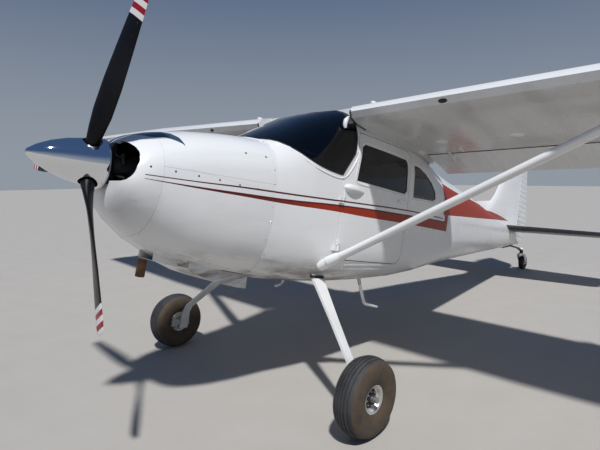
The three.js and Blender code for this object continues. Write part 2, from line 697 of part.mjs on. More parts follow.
function makeTail() {
  const rootX = 62;
  const flat = (x, lead, trail, thickness) =>
    tailRing((y, h) => at(x, y, stabiliserZ + h), lead, trail, thickness);
  const tipX = tailHalfSpan;
  const plane = loft(
    [flat(rootX, 5180, 6235, 0.09), flat(1560, 5370, 6150, 0.09), flat(1625, 5400, 6125, 0.07), flat(tipX, 5450, 6070, 0.04)],
    "y",
    "z",
  );
  const hingeAt = (x) => {
    const share = (x - rootX) / (1560 - rootX);
    const [lead, trail] = [THREE.MathUtils.lerp(5180, 5370, share), THREE.MathUtils.lerp(6235, 6150, share)];
    const s = (elevatorHingeY - lead) / (trail - lead);
    const half = 5 * 0.09 * (0.2969 * Math.sqrt(s) - 0.126 * s - 0.3516 * s ** 2 + 0.2843 * s ** 3 - 0.1015 * s ** 4);
    return { centre: at(x, elevatorHingeY, stabiliserZ), radius: half * (trail - lead) };
  };
  const hornX = 1392;
  const [inner, outer] = [hingeAt(104), hingeAt(hornX)];
  const split = splitSurface(plane, inner, outer, runGap);
  const hornPlan = [[hornX - 1, 5800], [hornX - 1, 7000], [2000, 7000], [2000, 5000], [hornX + 8, 5000], [hornX + 8, 5800]];
  const horn = plane.intersect(planPrism(hornPlan, -500, 1000));
  const hornSlot = planPrism([[hornX, 5000], [2000, 5000], [2000, 7000], [hornX, 7000]], -500, 1000);
  const rudderRoom = planPrism([[0, 5700], [104, 5700], [104, 5862], [330, 6400], [0, 6400]], -500, 1000);
  const elevator = joined(split.moving, horn).subtract(rudderRoom);
  const tubeRoom = bar(at(-112, elevatorHingeY, stabiliserZ), at(112, elevatorHingeY, stabiliserZ), elevatorTube + runGap);
  const swingRoom = box(0, 110, 5846, 7000, -500, 1000);
  const stabiliser = [hornSlot, fuselageFit, tubeRoom, swingRoom].reduce((left, cut) => left.subtract(cut), split.fixed);
  for (const { name, sign } of sides) {
    piece(`stabiliser_${name}`, mirrored(stabiliser, sign), white);
  }
  const tube = bar(at(-112, elevatorHingeY, stabiliserZ), at(112, elevatorHingeY, stabiliserZ), elevatorTube);
  piece("elevators", joined(elevator, tube, mirrored(elevator, -1)), white, "elevators");
  hinges.elevators = [at(-500, elevatorHingeY, stabiliserZ), at(500, elevatorHingeY, stabiliserZ)];

  const upright = (z, lead, trail, thickness) => tailRing((y, h) => at(h, y, z), lead, trail, thickness);
  const finRows = [
    upright(180, 4560, 6440, 0.06),
    upright(400, 4560, 6425, 0.06),
    upright(600, 4800, 6384, 0.072),
    upright(700, 4915, 6363, 0.078),
    upright(1000, 5150, 6301, 0.082),
    upright(1520, 5520, 6194, 0.085),
    upright(finTopZ, 5560, 6170, 0.05),
  ];
  const fin = loft(finRows, "x", "y");
  const dorsal = loft(
    [
      [at(-26, 4900, 300), at(26, 4900, 300), at(14, 4900, 610), at(-14, 4900, 610)],
      [at(-12, 4050, 300), at(12, 4050, 300), at(4, 4050, 476), at(-4, 4050, 476)],
    ],
    "x",
    "z",
  );
  const rudderRadius = 40;
  const post = (extra, low, high) =>
    bar(at(0, rudderHingeY, low), at(0, rudderHingeY, high), rudderRadius + extra, 26 + extra, 20);
  const aft = box(-300, 300, rudderHingeY, 7000, -500, 3000);
  const rudderFoot = sidePrism([[5905, 20], [5990, 20], [6150, 34], [6330, 130], [6425, 330], [6440, 420], [6440, 3000], [5800, 3000], [5800, 20]], -300, 300);
  const low = loft([upright(10, 5300, 6440, 0.072), upright(420, 4900, 6440, 0.062)], "x", "y");
  const rudderWhole = joined(fin, low).intersect(aft);
  const rudder = joined(rudderWhole, post(0, 20, finTopZ - 4)).intersect(rudderFoot).subtract(tubeRoom);
  const cove = joined(aft, post(runGap, -200, 3000));
  piece("fin", joined(fin, dorsal).subtract(cove).subtract(fuselageFit).subtract(tubeRoom), white);
  piece("rudder", rudder, white, "rudder");
  hinges.rudder = [at(0, rudderHingeY, 0), at(0, rudderHingeY, 1000)];

  const coneInner = hull(fuselageRows, [cabinEnd - 20, 3400, 4200, 5000, 5500], wall);
  const cone = hull(fuselageRows, [cabinEnd + seat, 3400, 4200, 5000, 5600, coneEnd]);
  // The elevators' tube turns in the cone, and the rudder's post stands on a lug behind it.
  const bearing = bar(at(-200, elevatorHingeY, stabiliserZ), at(200, elevatorHingeY, stabiliserZ), boreFor(elevatorTube, 16));
  const lug = joined(
    box(-16, 16, 5790, rudderHingeY, 2, 20 - seat),
    bar(at(0, rudderHingeY, 2), at(0, rudderHingeY, 20 - seat), 16),
  );
  piece("tail_cone", joined(cone.subtract(coneInner).subtract(bearing), lug), white);
}

// Propeller: hub, three blades and the spinner over them.
function makePropeller() {
  const profile = [
    [0, spinnerTipY],
    [16, spinnerTipY + 6],
    [52, spinnerTipY + 52],
    [88, spinnerTipY + 120],
    [117, spinnerTipY + 200],
    [137, spinnerTipY + 290],
    [spinnerRadius, spinnerBaseY - 20],
    [spinnerRadius, spinnerBaseY],
  ];
  const skin = 9;
  const shell = turned([...profile, [0, spinnerBaseY]], "y", at(0, 0, 0), 28);
  const hollow = turned(
    [[0, spinnerTipY + 60], ...profile.slice(2).map(([r, y]) => [r - skin, y]), [spinnerRadius - skin, spinnerBaseY + 1], [0, spinnerBaseY + 1]],
    "y",
    at(0, 0, 0),
    28,
  );
  const hub = joined(
    bar(at(0, spinnerBaseY - 120, 0), at(0, spinnerBaseY, 0), hubRadius, hubRadius, 20),
    bar(at(0, spinnerBaseY + seat, 0), at(0, spinnerBaseY + 9, 0), spinnerRadius - 2, spinnerRadius - 2, 28),
    bar(at(0, spinnerBaseY - 2, 0), at(0, spinnerBaseY + 2, 0), spinnerRadius - 20, spinnerRadius - 20, 20),
  );
  const rootEnd = 150;
  const blades = [0, 1, 2].map((i) => firstBladeAngle + (i * Math.PI * 2) / 3);
  const outward = (angle, r) => at(Math.sin(angle) * r, bladePlaneY, Math.cos(angle) * r);
  const sockets = blades.map((angle) => bar(outward(angle, 20), outward(angle, 260), 54, 54, 14));
  const spinner = sockets.reduce((left, socket) => left.subtract(socket), shell.subtract(hollow));
  piece("spinner", onThrustLine(spinner), material(0xc9cdd2, 0.12, 1), "propeller");
  piece("propeller_hub", onThrustLine(hub), castMetal, "propeller");

  // r: radius, chord, thick: share of the chord, pitch in degrees
  const row = (r, chord, thick, pitch) => ({ r, chord, thick, pitch });
  const bladeRows = [
    row(hubRadius + seat, 80, 1, 40),
    row(rootEnd, 80, 1, 40),
    row(215, 106, 0.5, 35),
    row(320, 142, 0.22, 28),
    row(500, 163, 0.13, 20),
    row(700, 160, 0.1, 13.5),
    row(880, 144, 0.08, 9.5),
    row(980, 130, 0.07, 7.5),
    row(1016, 110, 0.07, 7),
    row(bladeRadius, 70, 0.08, 6.5),
  ];
  const rings = bladeRows.map(({ r, chord, thick, pitch }) => bladeRing(r, chord, thick, rad(pitch)));
  const blade = loft(rings, "x", "y");
  blades.forEach((angle, i) => {
    const turn = new THREE.Matrix4().makeRotationY(angle).setPosition(0, bladePlaneY, 0);
    piece(`propeller_blade_${i + 1}`, onThrustLine(blade.transform(turn.elements)), material(0x15161a, 0.45), "propeller");
  });
}

// One section of a blade that stands straight up from the hub.
function bladeRing(r, chord, thick, pitch) {
  const count = 18;
  return Array.from({ length: count }, (_, i) => {
    const angle = (i / count) * Math.PI * 2;
    const lean = thick < 0.9 ? 1 - 0.22 * Math.cos(angle) : 1;
    const along = (chord / 2) * Math.cos(angle);
    const above = ((chord * thick) / 2) * Math.sin(angle) * lean;
    return at(
      along * Math.cos(pitch) - above * Math.sin(pitch),
      along * Math.sin(pitch) + above * Math.cos(pitch),
      r,
    );
  });
}

// Main gear: one flat spring leg a side, its axle and brake, and the wheel.
function makeMainGear() {
  const legRows = [
    { x: 430, y: 565, z: -552, length: 128, depth: 22 },
    { x: 500, y: 545, z: -620, length: 118, depth: 20 },
    { x: 750, y: 472, z: -860, length: 84, depth: 18 },
    { x: 984, y: 403, z: -1084, length: 66, depth: 18 },
    { x: 1008, y: 392, z: -1150, length: 70, depth: 20 },
    { x: 1012, y: 384, z: -1300, length: 84, depth: 20 },
  ];
  const legOf = (grow) =>
    loft(
      legRows.map(({ x, y, z, length, depth }, i) => {
        const next = legRows[Math.min(i + 1, legRows.length - 1)];
        const last = legRows[Math.max(i - 1, 0)];
        const along = at(next.x - last.x, 0, next.z - last.z).normalize();
        const out = at(-along.z, 0, along.x);
        return [[-1, -1], [1, -1], [1, 1], [-1, 1]].map(([a, b]) =>
          at(x, y + a * (length / 2 + grow), z).addScaledVector(out, b * (depth / 2 + grow)),
        );
      }),
      "y",
      "x",
    );
  const leg = legOf(0).subtract(fuselageFit);
  const centre = at(axle.x, axle.y, axle.z);
  const axleBar = joined(
    bar(at(1012, axle.y, axle.z), at(axle.x + 92, axle.y, axle.z), 19),
    box(1016, 1034, axle.y - 42, axle.y + 42, axle.z - 52, axle.z + 52),
    box(1020, 1048, axle.y - 120, axle.y - 62, axle.z - 36, axle.z + 36),
    box(1020, 1034, axle.y - 118, axle.y + 20, axle.z - 24, axle.z + 24),
  );
  const rimRadius = 82;
  const bore = boreFor(19, 28);
  const half = mainTyreWidth / 2;
  const tyreProfile = tyreSection(rimRadius, mainTyreRadius, half, 66);
  const bead = rimRadius - seat;
  const wheelProfile = [
    [bore, -44],
    [34, -44],
    [34, -14],
    [66, -14],
    [70, -70],
    [97, -78],
    [97, -71],
    [bead, -58.5],
    [bead, 58.5],
    [97, 71],
    [97, 78],
    [70, 70],
    [64, 6],
    [38, 12],
    [38, 74],
    [bore, 74],
  ];
  for (const { name, sign } of sides) {
    const flip = (made) => mirrored(made, sign);
    piece(`gear_leg_${name}`, flip(leg), white);
    piece(`axle_${name}`, flip(axleBar.subtract(legOf(seat))), castMetal);
    const tyre = turned(closed(tyreProfile), "x", centre, 28);
    piece(`main_tyre_${name}`, flip(tyre), rubber, `main_wheel_${name}`);
    const rim = turned(closed(wheelProfile), "x", centre, 28);
    piece(`main_rim_${name}`, flip(rim), castMetal, `main_wheel_${name}`);
    hinges[`main_wheel_${name}`] = [at(sign * axle.x - 100, axle.y, axle.z), at(sign * axle.x + 100, axle.y, axle.z)];
  }
}

const closed = (profile) => [...profile, profile[0]];

// The radius of a faceted bore that a pin turns in, with the seat's gap at its flats.
const boreFor = (pinRadius, sides) => (pinRadius + seat + 0.05) / Math.cos(Math.PI / sides);

// Half-round tyre section between two beads: [radius, place along the axle].
function tyreSection(rim, radius, half, beadHalf) {
  const shoulder = [];
  const steps = 8;
  for (let i = 0; i <= steps; i += 1) {
    const angle = Math.PI * (i / steps);
    const place = -half * Math.cos(angle) * (1 - 0.12 * Math.sin(angle) ** 6);
    const share = Math.sin(angle) ** 0.72;
    shoulder.push([THREE.MathUtils.lerp(rim + 46, radius, share), place]);
  }
  return [[rim, -beadHalf + 8], [rim + 18, -beadHalf - 4], ...shoulder, [rim + 18, beadHalf + 4], [rim, beadHalf - 8]];
}

// Tail gear: leaf spring, swivelling fork and small wheel, placed in the parked attitude.
function makeTailGear() {
  const wheel = at(0, axleGroundY + tailWheelBehindAxle, tailTyreRadius);
  const swivelY = wheel.y - tailTrail;
  const headZ = 288;
  const springTop = headZ + 66;
  const spring = loft(
    [
      { y: swivelY + 24, z: springTop - 4, half: 22 },
      { y: swivelY - 40, z: springTop + 6, half: 22 },
      { y: swivelY - 200, z: springTop + 66, half: 24 },
      { y: swivelY - 380, z: springTop + 106, half: 26 },
      { y: swivelY - 560, z: springTop + 146, half: 28 },
      { y: swivelY - 900, z: springTop + 158, half: 30 },
    ].map(({ y, z, half }) => [at(-half, y, z), at(half, y, z), at(half, y - 2, z - 18), at(-half, y - 2, z - 18)]),
    "x",
    "z",
  );
  const bracket = bar(at(0, swivelY, headZ + seat), at(0, swivelY, springTop + 12), 30, 26, 18);
  piece("tail_spring", joined(spring, bracket).subtract(inGround(fuselageFit)), darkMetal, "ground");

  const armX = tailTyreWidth / 2 + 12;
  const crown = bar(at(0, swivelY, headZ - 36), at(0, swivelY, headZ), 36, 34, 20);
  const arms = [-1, 1].map((side) =>
    sidePrism(
      [
        [wheel.y - 22, wheel.z - 20],
        [wheel.y + 22, wheel.z - 14],
        [wheel.y + 18, wheel.z + 30],
        [swivelY + 40, headZ - 8],
        [swivelY - 26, headZ - 8],
        [swivelY - 30, headZ - 34],
      ],
      side * armX - 6,
      side * armX + 6,
    ),
  );
  const bridge = box(-armX, armX, swivelY - 24, swivelY + 32, headZ - 28, headZ - 8);
  const pin = bar(at(-armX - 12, wheel.y, wheel.z), at(armX + 12, wheel.y, wheel.z), 9, 9, 14);
  piece("tail_fork", joined(crown, bridge, ...arms, pin), castMetal, "tail_fork");
  const half = tailTyreWidth / 2;
  const tyre = turned(closed(tyreSection(48, tailTyreRadius, half, 30).map(([r, p]) => [r, p])), "x", wheel, 20);
  piece("tail_tyre", tyre, rubber, "tail_wheel");
  const bore = boreFor(9, 20);
  const rim = turned(closed([[bore, -34], [22, -34], [22, -12], [44, -28], [48 - seat, -21], [48 - seat, 21], [44, 28], [22, 12], [22, 34], [bore, 34]]), "x", wheel, 20);
  piece("tail_rim", rim, castMetal, "tail_wheel");
  hinges.tail_fork = [at(0, swivelY, 0), at(0, swivelY, 400)];
  hinges.tail_wheel = [at(-100, wheel.y, wheel.z), at(100, wheel.y, wheel.z)];
}

// Places the level airframe on its wheels.
const aircraft = new THREE.Group();
const airframe = new THREE.Group();
aircraft.add(airframe);
airframe.rotation.x = -parkAngle;
const axleTurned = at(0, axle.y, axle.z).applyAxisAngle(at(1, 0, 0), -parkAngle);
airframe.position.set(0, axleGroundY - axleTurned.y, mainTyreRadius - axleTurned.z);
airframe.updateMatrixWorld(true);

// A solid of the level frame, moved to where it stands on the ground.
const inGround = (made) => made.transform(airframe.matrixWorld.elements);

makeCabin();
makeSeats();
makeYokes();
makeCowl();
makeWings();
makeTail();
makePropeller();
makeMainGear();
makeTailGear();

// Each moving body is a group at its hinge, whose own X axis is the hinge's axis.
hinges.propeller = [at(0, 0, 0), at(0, 100, 0)].map((p) => p.applyMatrix4(thrustLine));
for (const { name, sign } of sides) {
  hinges[`door_${name}`] = [-1, 1].map((end) => at(sign * doorHinge.x, doorHinge.y, end * 400));
}
const onGround = new Set(["ground", "tail_fork", "tail_wheel"]);
const groups = { airframe, ground: aircraft };
for (const [name, [from, to]] of Object.entries(hinges)) {
  const group = new THREE.Group();
  group.name = `${name}_hinge`;
  group.position.copy(from);
  group.quaternion.setFromUnitVectors(at(1, 0, 0), to.clone().sub(from).normalize());
  (onGround.has(name) ? aircraft : airframe).add(group);
  groups[name] = group;
}
aircraft.updateMatrixWorld(true);
for (const { mesh, body } of pieces) {
  (onGround.has(body) ? aircraft : airframe).add(mesh);
  mesh.updateMatrixWorld(true);
  if (groups[body] !== mesh.parent) groups[body].attach(mesh);
}
for (const name of ["flap_left", "flap_right"]) groups[name].rotateX(name === "flap_left" ? -flapSet : flapSet);
aircraft.updateMatrixWorld(true);

export default aircraft;
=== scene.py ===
# Light aircraft on tail-wheel gear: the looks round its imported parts, for Blender 4.5.
import math
import re
from contextlib import contextmanager
from functools import reduce

import bmesh
import bpy
from mathutils import Matrix, Vector
from mathutils.bvhtree import BVHTree


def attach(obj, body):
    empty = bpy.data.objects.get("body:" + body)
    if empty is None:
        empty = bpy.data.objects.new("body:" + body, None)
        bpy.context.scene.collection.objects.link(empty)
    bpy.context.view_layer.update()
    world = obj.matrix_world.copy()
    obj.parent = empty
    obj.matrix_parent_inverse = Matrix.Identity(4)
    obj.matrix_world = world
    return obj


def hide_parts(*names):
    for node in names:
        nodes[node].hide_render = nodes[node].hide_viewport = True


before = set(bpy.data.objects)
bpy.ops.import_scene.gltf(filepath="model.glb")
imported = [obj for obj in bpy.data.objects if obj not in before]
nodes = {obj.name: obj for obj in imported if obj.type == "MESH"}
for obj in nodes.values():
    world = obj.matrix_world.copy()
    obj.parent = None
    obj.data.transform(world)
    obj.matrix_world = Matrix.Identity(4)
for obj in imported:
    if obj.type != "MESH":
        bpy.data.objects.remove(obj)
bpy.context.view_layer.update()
scene = bpy.context.scene
hands = {"left": 1, "right": -1}

# The parked fuselage stands nose up. Level metres: x to the left, y aft of the firewall, z up.
parked = {"tilt": math.radians(10.5), "firewall": (0, -2.54871, 1.56258)}
levelToRow = Matrix.Translation(parked["firewall"]) @ Matrix.Rotation(-parked["tilt"], 4, "X")
rowToLevel = levelToRow.inverted()
print("frame loaded:", len(nodes), "parts")


class Value:
    # A number that a material works out over the surface, so that sums of masks read as sums.
    def __init__(self, tree, socket):
        self.tree, self.socket = tree, socket

    def __add__(self, other):
        return calc("ADD", self, other)

    def __sub__(self, other):
        return calc("SUBTRACT", self, other)

    def __mul__(self, other):
        return calc("MULTIPLY", self, other)

    def __or__(self, other):
        return calc("MAXIMUM", self, other)

    def __gt__(self, other):
        return calc("GREATER_THAN", self, other)

    def __lt__(self, other):
        return calc("LESS_THAN", self, other)

    def __abs__(self):
        return calc("ABSOLUTE", self)


def feed(socket, value):
    if isinstance(value, Value):
        value.tree.links.new(value.socket, socket)
    else:
        socket.default_value = (*value, 1) if socket.type == "RGBA" else value


def put(tree, kind, feeds, out=0, **settings):
    # Adds a node and gives back one of its outputs.
    node = tree.nodes.new("ShaderNode" + kind)
    for name, value in settings.items():
        setattr(node, name, value)
    for name, value in feeds.items():
        feed(node.inputs[name], value)
    return Value(tree, node.outputs[out])


def calc(operation, *values, kind="Math", out=0, **settings):
    tree = next(v.tree for v in values if isinstance(v, Value))
    return put(tree, kind, dict(enumerate(values)), out, operation=operation, **settings)


def vectorCalc(operation, *values, out="Vector"):
    return calc(operation, *values, kind="VectorMath", out=out)


def within(value, low, high):
    return (value > low) * (value < high)


def tint(amount, under, over):
    return put(amount.tree, "Mix", {0: amount, 6: under, 7: over}, 2, data_type="RGBA")


def ease(value, low, high, lowOut=0.0, highOut=1.0):
    return put(value.tree, "MapRange", {"Value": value, "From Min": low, "From Max": high, "To Min": lowOut,
                                        "To Max": highOut}, interpolation_type="SMOOTHSTEP")


def noise(spot, scale, detail, roughness=0.5):
    return put(spot.tree, "TexNoise", {"Vector": spot, "Scale": scale, "Detail": detail,
                                       "Roughness": roughness}, "Fac")


def stretched(spot, scale):
    return put(spot.tree, "Mapping", {"Vector": spot, "Scale": scale})


def split(vector):
    node = put(vector.tree, "SeparateXYZ", {"Vector": vector}).socket.node
    return [Value(vector.tree, socket) for socket in node.outputs]


def surfaceWay(spot):
    return put(spot.tree, "TexCoord", {}, "Normal")


def makeGroup(name, build, **inputs):
    # A shader node group: build turns its inputs into its outputs, by name.
    group = bpy.data.node_groups.new(name, "ShaderNodeTree")
    for label, value in inputs.items():
        kind = "NodeSocketVector" if isinstance(value, tuple) else "NodeSocketFloat"
        group.interface.new_socket(label, in_out="INPUT", socket_type=kind).default_value = value
    given = group.nodes.new("NodeGroupInput").outputs
    made = build({label: Value(group, given[label]) for label in inputs})
    for label, value in made.items():
        kind = "NodeSocketVector" if value.socket.type == "VECTOR" else "NodeSocketFloat"
        group.interface.new_socket(label, in_out="OUTPUT", socket_type=kind)
    result = group.nodes.new("NodeGroupOutput").inputs
    for label, value in made.items():
        feed(result[label], value)
    return group


def useGroup(group, **feeds):
    tree = next(v.tree for v in feeds.values() if isinstance(v, Value))
    node = put(tree, "Group", feeds, node_tree=group).socket.node
    return {socket.name: Value(tree, socket) for socket in node.outputs}


def toneAndGrain(given):
    # Slow patches, fine grain and small specks, for paint, metal and rubber alike.
    grain = noise(given["Vector"], given["GrainScale"], 3.0)
    return {"Patch": ease(noise(given["Vector"], given["PatchScale"], 4.0), 0.3, 0.7),
            "Grain": grain, "Speck": ease(grain, 0.66, 0.74)}


def airflowGrime(given):
    # Grime drawn out along the airflow and dust that settles low on the airframe.
    spot = given["Vector"]
    streak = noise(stretched(spot, given["Stretch"]), 1.0, 5.0, 0.6)
    low = ease(split(spot)[2], given["HighEdge"], given["LowEdge"])
    return {"Streak": ease(streak, 0.5, 0.8), "Dust": low * ease(noise(spot, 5.0, 5.0), 0.35, 0.65)}


def seamLine(given):
    # A panel seam between two points of the level side or plan view, with its row of rivets.
    run = vectorCalc("SUBTRACT", given["To"], given["From"])
    arm = vectorCalc("SUBTRACT", given["Place"], given["From"])
    length = vectorCalc("LENGTH", run, out="Value")
    share = calc("DIVIDE", vectorCalc("DOT_PRODUCT", arm, run, out="Value"), length * length, use_clamp=True)
    foot = put(run.tree, "VectorMath", {0: run, "Scale": share}, operation="SCALE")
    near = vectorCalc("DISTANCE", arm, foot, out="Value")
    along = calc("PINGPONG", share * length, given["Pitch"] * 0.5)
    reach = calc("SQRT", calc("POWER", along, 2.0) + calc("POWER", near, 2.0))
    return {"Line": ease(near, given["Width"], given["Width"] * 0.3),
            "Rivets": ease(reach, given["Size"], given["Size"] * 0.5)}


def levelPlace(given):
    # Turns a part's own coordinates into level ones, with both sides folded onto the left.
    spot = given["Vector"]
    x, aft, up = split(put(spot.tree, "Mapping", {"Vector": spot, "Location": rowToLevel.to_translation(),
                                                  "Rotation": (parked["tilt"], 0, 0)}))
    half = abs(x)
    return {"Side": put(spot.tree, "CombineXYZ", {"X": aft, "Y": up}),
            "Plan": put(spot.tree, "CombineXYZ", {"X": half, "Y": aft}), "Half": half, "Aft": aft, "Up": up}


zero = (0.0, 0.0, 0.0)
toneGroup = makeGroup("toneAndGrain", toneAndGrain, Vector=zero, PatchScale=1.5, GrainScale=60.0)
grimeGroup = makeGroup("airflowGrime", airflowGrime, Vector=zero, Stretch=(9.0, 0.9, 9.0), LowEdge=0.3,
                       HighEdge=0.9)
seamGroup = makeGroup("seamLine", seamLine, Place=zero, From=zero, To=(1.0, 0.0, 0.0), Width=0.003,
                      Pitch=0.04, Size=0.003)
placeGroup = makeGroup("levelPlace", levelPlace, Vector=zero)


def toneOf(spot, patches, grains):
    return useGroup(toneGroup, Vector=spot, PatchScale=patches, GrainScale=grains)


def newMaterial(name, fixed):
    made = bpy.data.materials.new(name)
    made.use_nodes = True
    for label, value in fixed.items():
        feed(made.node_tree.nodes["Principled BSDF"].inputs[label], value)
    return made, put(made.node_tree, "TexCoord", {}, "Object")


def dress(made, colour, rough, height, strength=0.35, distance=0.002, linked=()):
    inputs = made.node_tree.nodes["Principled BSDF"].inputs
    feed(inputs["Base Color"], colour)
    feed(inputs["Roughness"], rough)
    feed(inputs["Normal"], put(height.tree, "Bump", {"Height": height, "Strength": strength,
                                                     "Distance": distance}))
    for label, value in linked:
        feed(inputs[label], value)
    return made


def followCurve(value, points, low=-0.2, high=0.6):
    # A height that changes along the fuselage: level z for level y, through these points.
    first, last = points[0][0], points[-1][0]
    share = put(value.tree, "MapRange", {"Value": value, "From Min": first, "From Max": last})
    made = put(value.tree, "FloatCurve", {"Value": share})
    mapping = made.socket.node.mapping
    curve = mapping.curves[0]
    spots = [((y - first) / (last - first), (z - low) / (high - low)) for y, z in points]
    curve.points[0].location = spots[0]
    curve.points[1].location = spots[-1]
    for spot in spots[1:-1]:
        curve.points.new(*spot)
    mapping.update()
    return put(value.tree, "MapRange", {"Value": made, "To Min": low, "To Max": high})


# Some of these colours carry painted light: the near-black also fills the gap beside the spinner as painted
# shade, the dark for inside the cowl, the grey for the wing's underside and the seam grey, which also darkens
# the grooves of beaded skin, are painted shade, and the bright white is a painted highlight for parts in the
# shade under the body.
paint = {
    "white": (0.78, 0.785, 0.79), "bright": (0.88, 0.88, 0.88), "cream": (0.7, 0.69, 0.65),
    "grime": (0.3, 0.27, 0.23), "orange": (0.34, 0.024, 0.002), "maroon": (0.085, 0.008, 0.01),
    "slate": (0.035, 0.06, 0.1), "seamAndShade": (0.2, 0.2, 0.21), "bareSpot": (0.4, 0.39, 0.37),
    "boot": (0.012, 0.012, 0.013), "sootAndShade": (0.022, 0.021, 0.02), "oil": (0.15, 0.115, 0.08),
    "underWingShade": (0.26, 0.255, 0.235), "coat": {"Coat Weight": 0.35, "Coat Roughness": 0.12},
}
# Level y and z along the fuselage; panelHalf is the nose panel's half width.
stripe = {
    "line": [(-0.9, -0.056), (-0.575, -0.043), (-0.299, -0.027), (0.204, -0.006), (0.498, 0.008),
        (0.933, 0.03), (1.418, 0.054), (1.95, 0.068)],
    "upper": [(-0.9, -0.077), (-0.635, -0.073), (-0.215, -0.06), (0.121, -0.047), (0.504, -0.022),
        (0.947, 0.0), (1.47, 0.018), (2.43, 0.048)],
    "lower": [(-0.9, -0.08), (-0.633, -0.083), (-0.21, -0.083), (0.127, -0.082), (0.513, -0.073),
        (0.962, -0.072), (1.489, -0.063), (2.43, -0.055)],
    "flashTop": [(2.31, 0.441), (2.9, 0.414), (3.475, 0.411), (4.1, 0.424), (4.739, 0.425), (5.46, 0.362)],
    "flashLow": [(2.31, 0.106), (2.803, 0.147), (3.587, 0.209), (5.115, 0.335), (5.46, 0.361)],
    "panelHalf": [(-1.0, 0.02), (-0.92, 0.05), (-0.88, 0.084), (-0.85, 0.16), (-0.824, 0.225),
        (-0.775, 0.262), (-0.7, 0.318), (-0.655, 0.37)],
    "start": -0.9, "end": 2.43, "lineEnd": 2.3, "lineHalf": (0.0028, 0.0062), "darkEdge": 0.012,
    "footAft": (2.345, 2.43), "footUp": (0.0, 0.12), "flashAft": (2.31, 5.46), "panelEnd": (-0.705, -0.66),
    "panelLow": 0.09,
}
# Seams as pairs of level points, side view or plan, with the rivets' pitch and size.
seamsOf = {
    "fuselage": ([((-0.769, 0.023), (-0.142, -0.009)), ((-0.03, -0.6), (-0.03, 0.32)),
        ((0.62, -0.62), (0.62, 0.15)), ((2.43, -0.4), (2.43, 0.52)), ((3.3, -0.4), (3.3, 0.5)),
        ((4.15, -0.3), (4.15, 0.5)), ((5.0, -0.2), (5.0, 0.4)), ((2.43, 0.1), (5.6, 0.16)),
        ((0.02, -0.457), (2.3, -0.457)), ((1.58, -0.45), (1.58, 0.55))], 0.035, 0.0034),
    "fin": ([((4.95, 0.62), (5.7, 0.62)), ((5.05, 0.95), (5.74, 0.95)), ((5.2, 1.25), (5.78, 1.25)),
        ((5.74, 0.4), (5.78, 1.5))], 0.03, 0.0034),
    "wing": ([((0.5, 0.8), (5.3, 0.8)), ((0.5, 1.2), (5.3, 1.2)), ((0.5, 1.62), (2.5, 1.62)),
        ((2.5, 1.76), (5.2, 1.76))], 0.032, 0.003),
}


def whitePaint(spot, base="white", grime=0.35):
    tone = toneOf(spot, 1.1, 140.0)
    wear = useGroup(grimeGroup, Vector=spot)
    dirt = (wear["Streak"] * 0.3 | wear["Dust"]) * grime
    colour = tint(dirt, tint(tone["Patch"] * 0.4, paint[base], paint["cream"]), paint["grime"])
    colour = tint(tone["Speck"] * 0.16, colour, paint["grime"])
    return colour, dirt * 0.6 + ease(tone["Patch"], 0, 1, 0.24, 0.36), tone


def seams(place, name):
    lines, pitch, size = seamsOf[name]
    made = [useGroup(seamGroup, Place=place, From=(*start, 0), To=(*end, 0), Pitch=pitch, Size=size)
            for start, end in lines]
    return [reduce(lambda a, b: a | b, (one[part] for one in made)) for part in ("Line", "Rivets")]


def flashMask(aft, up):
    # The broad flash behind the cabin, which runs out to a point on the fin.
    top, low = followCurve(aft, stripe["flashTop"]), followCurve(aft, stripe["flashLow"])
    return within(aft, *stripe["flashAft"]) * within(up, low, top)


def orangePaint(grain):
    return tint(grain * 0.3, paint["orange"], paint["maroon"])


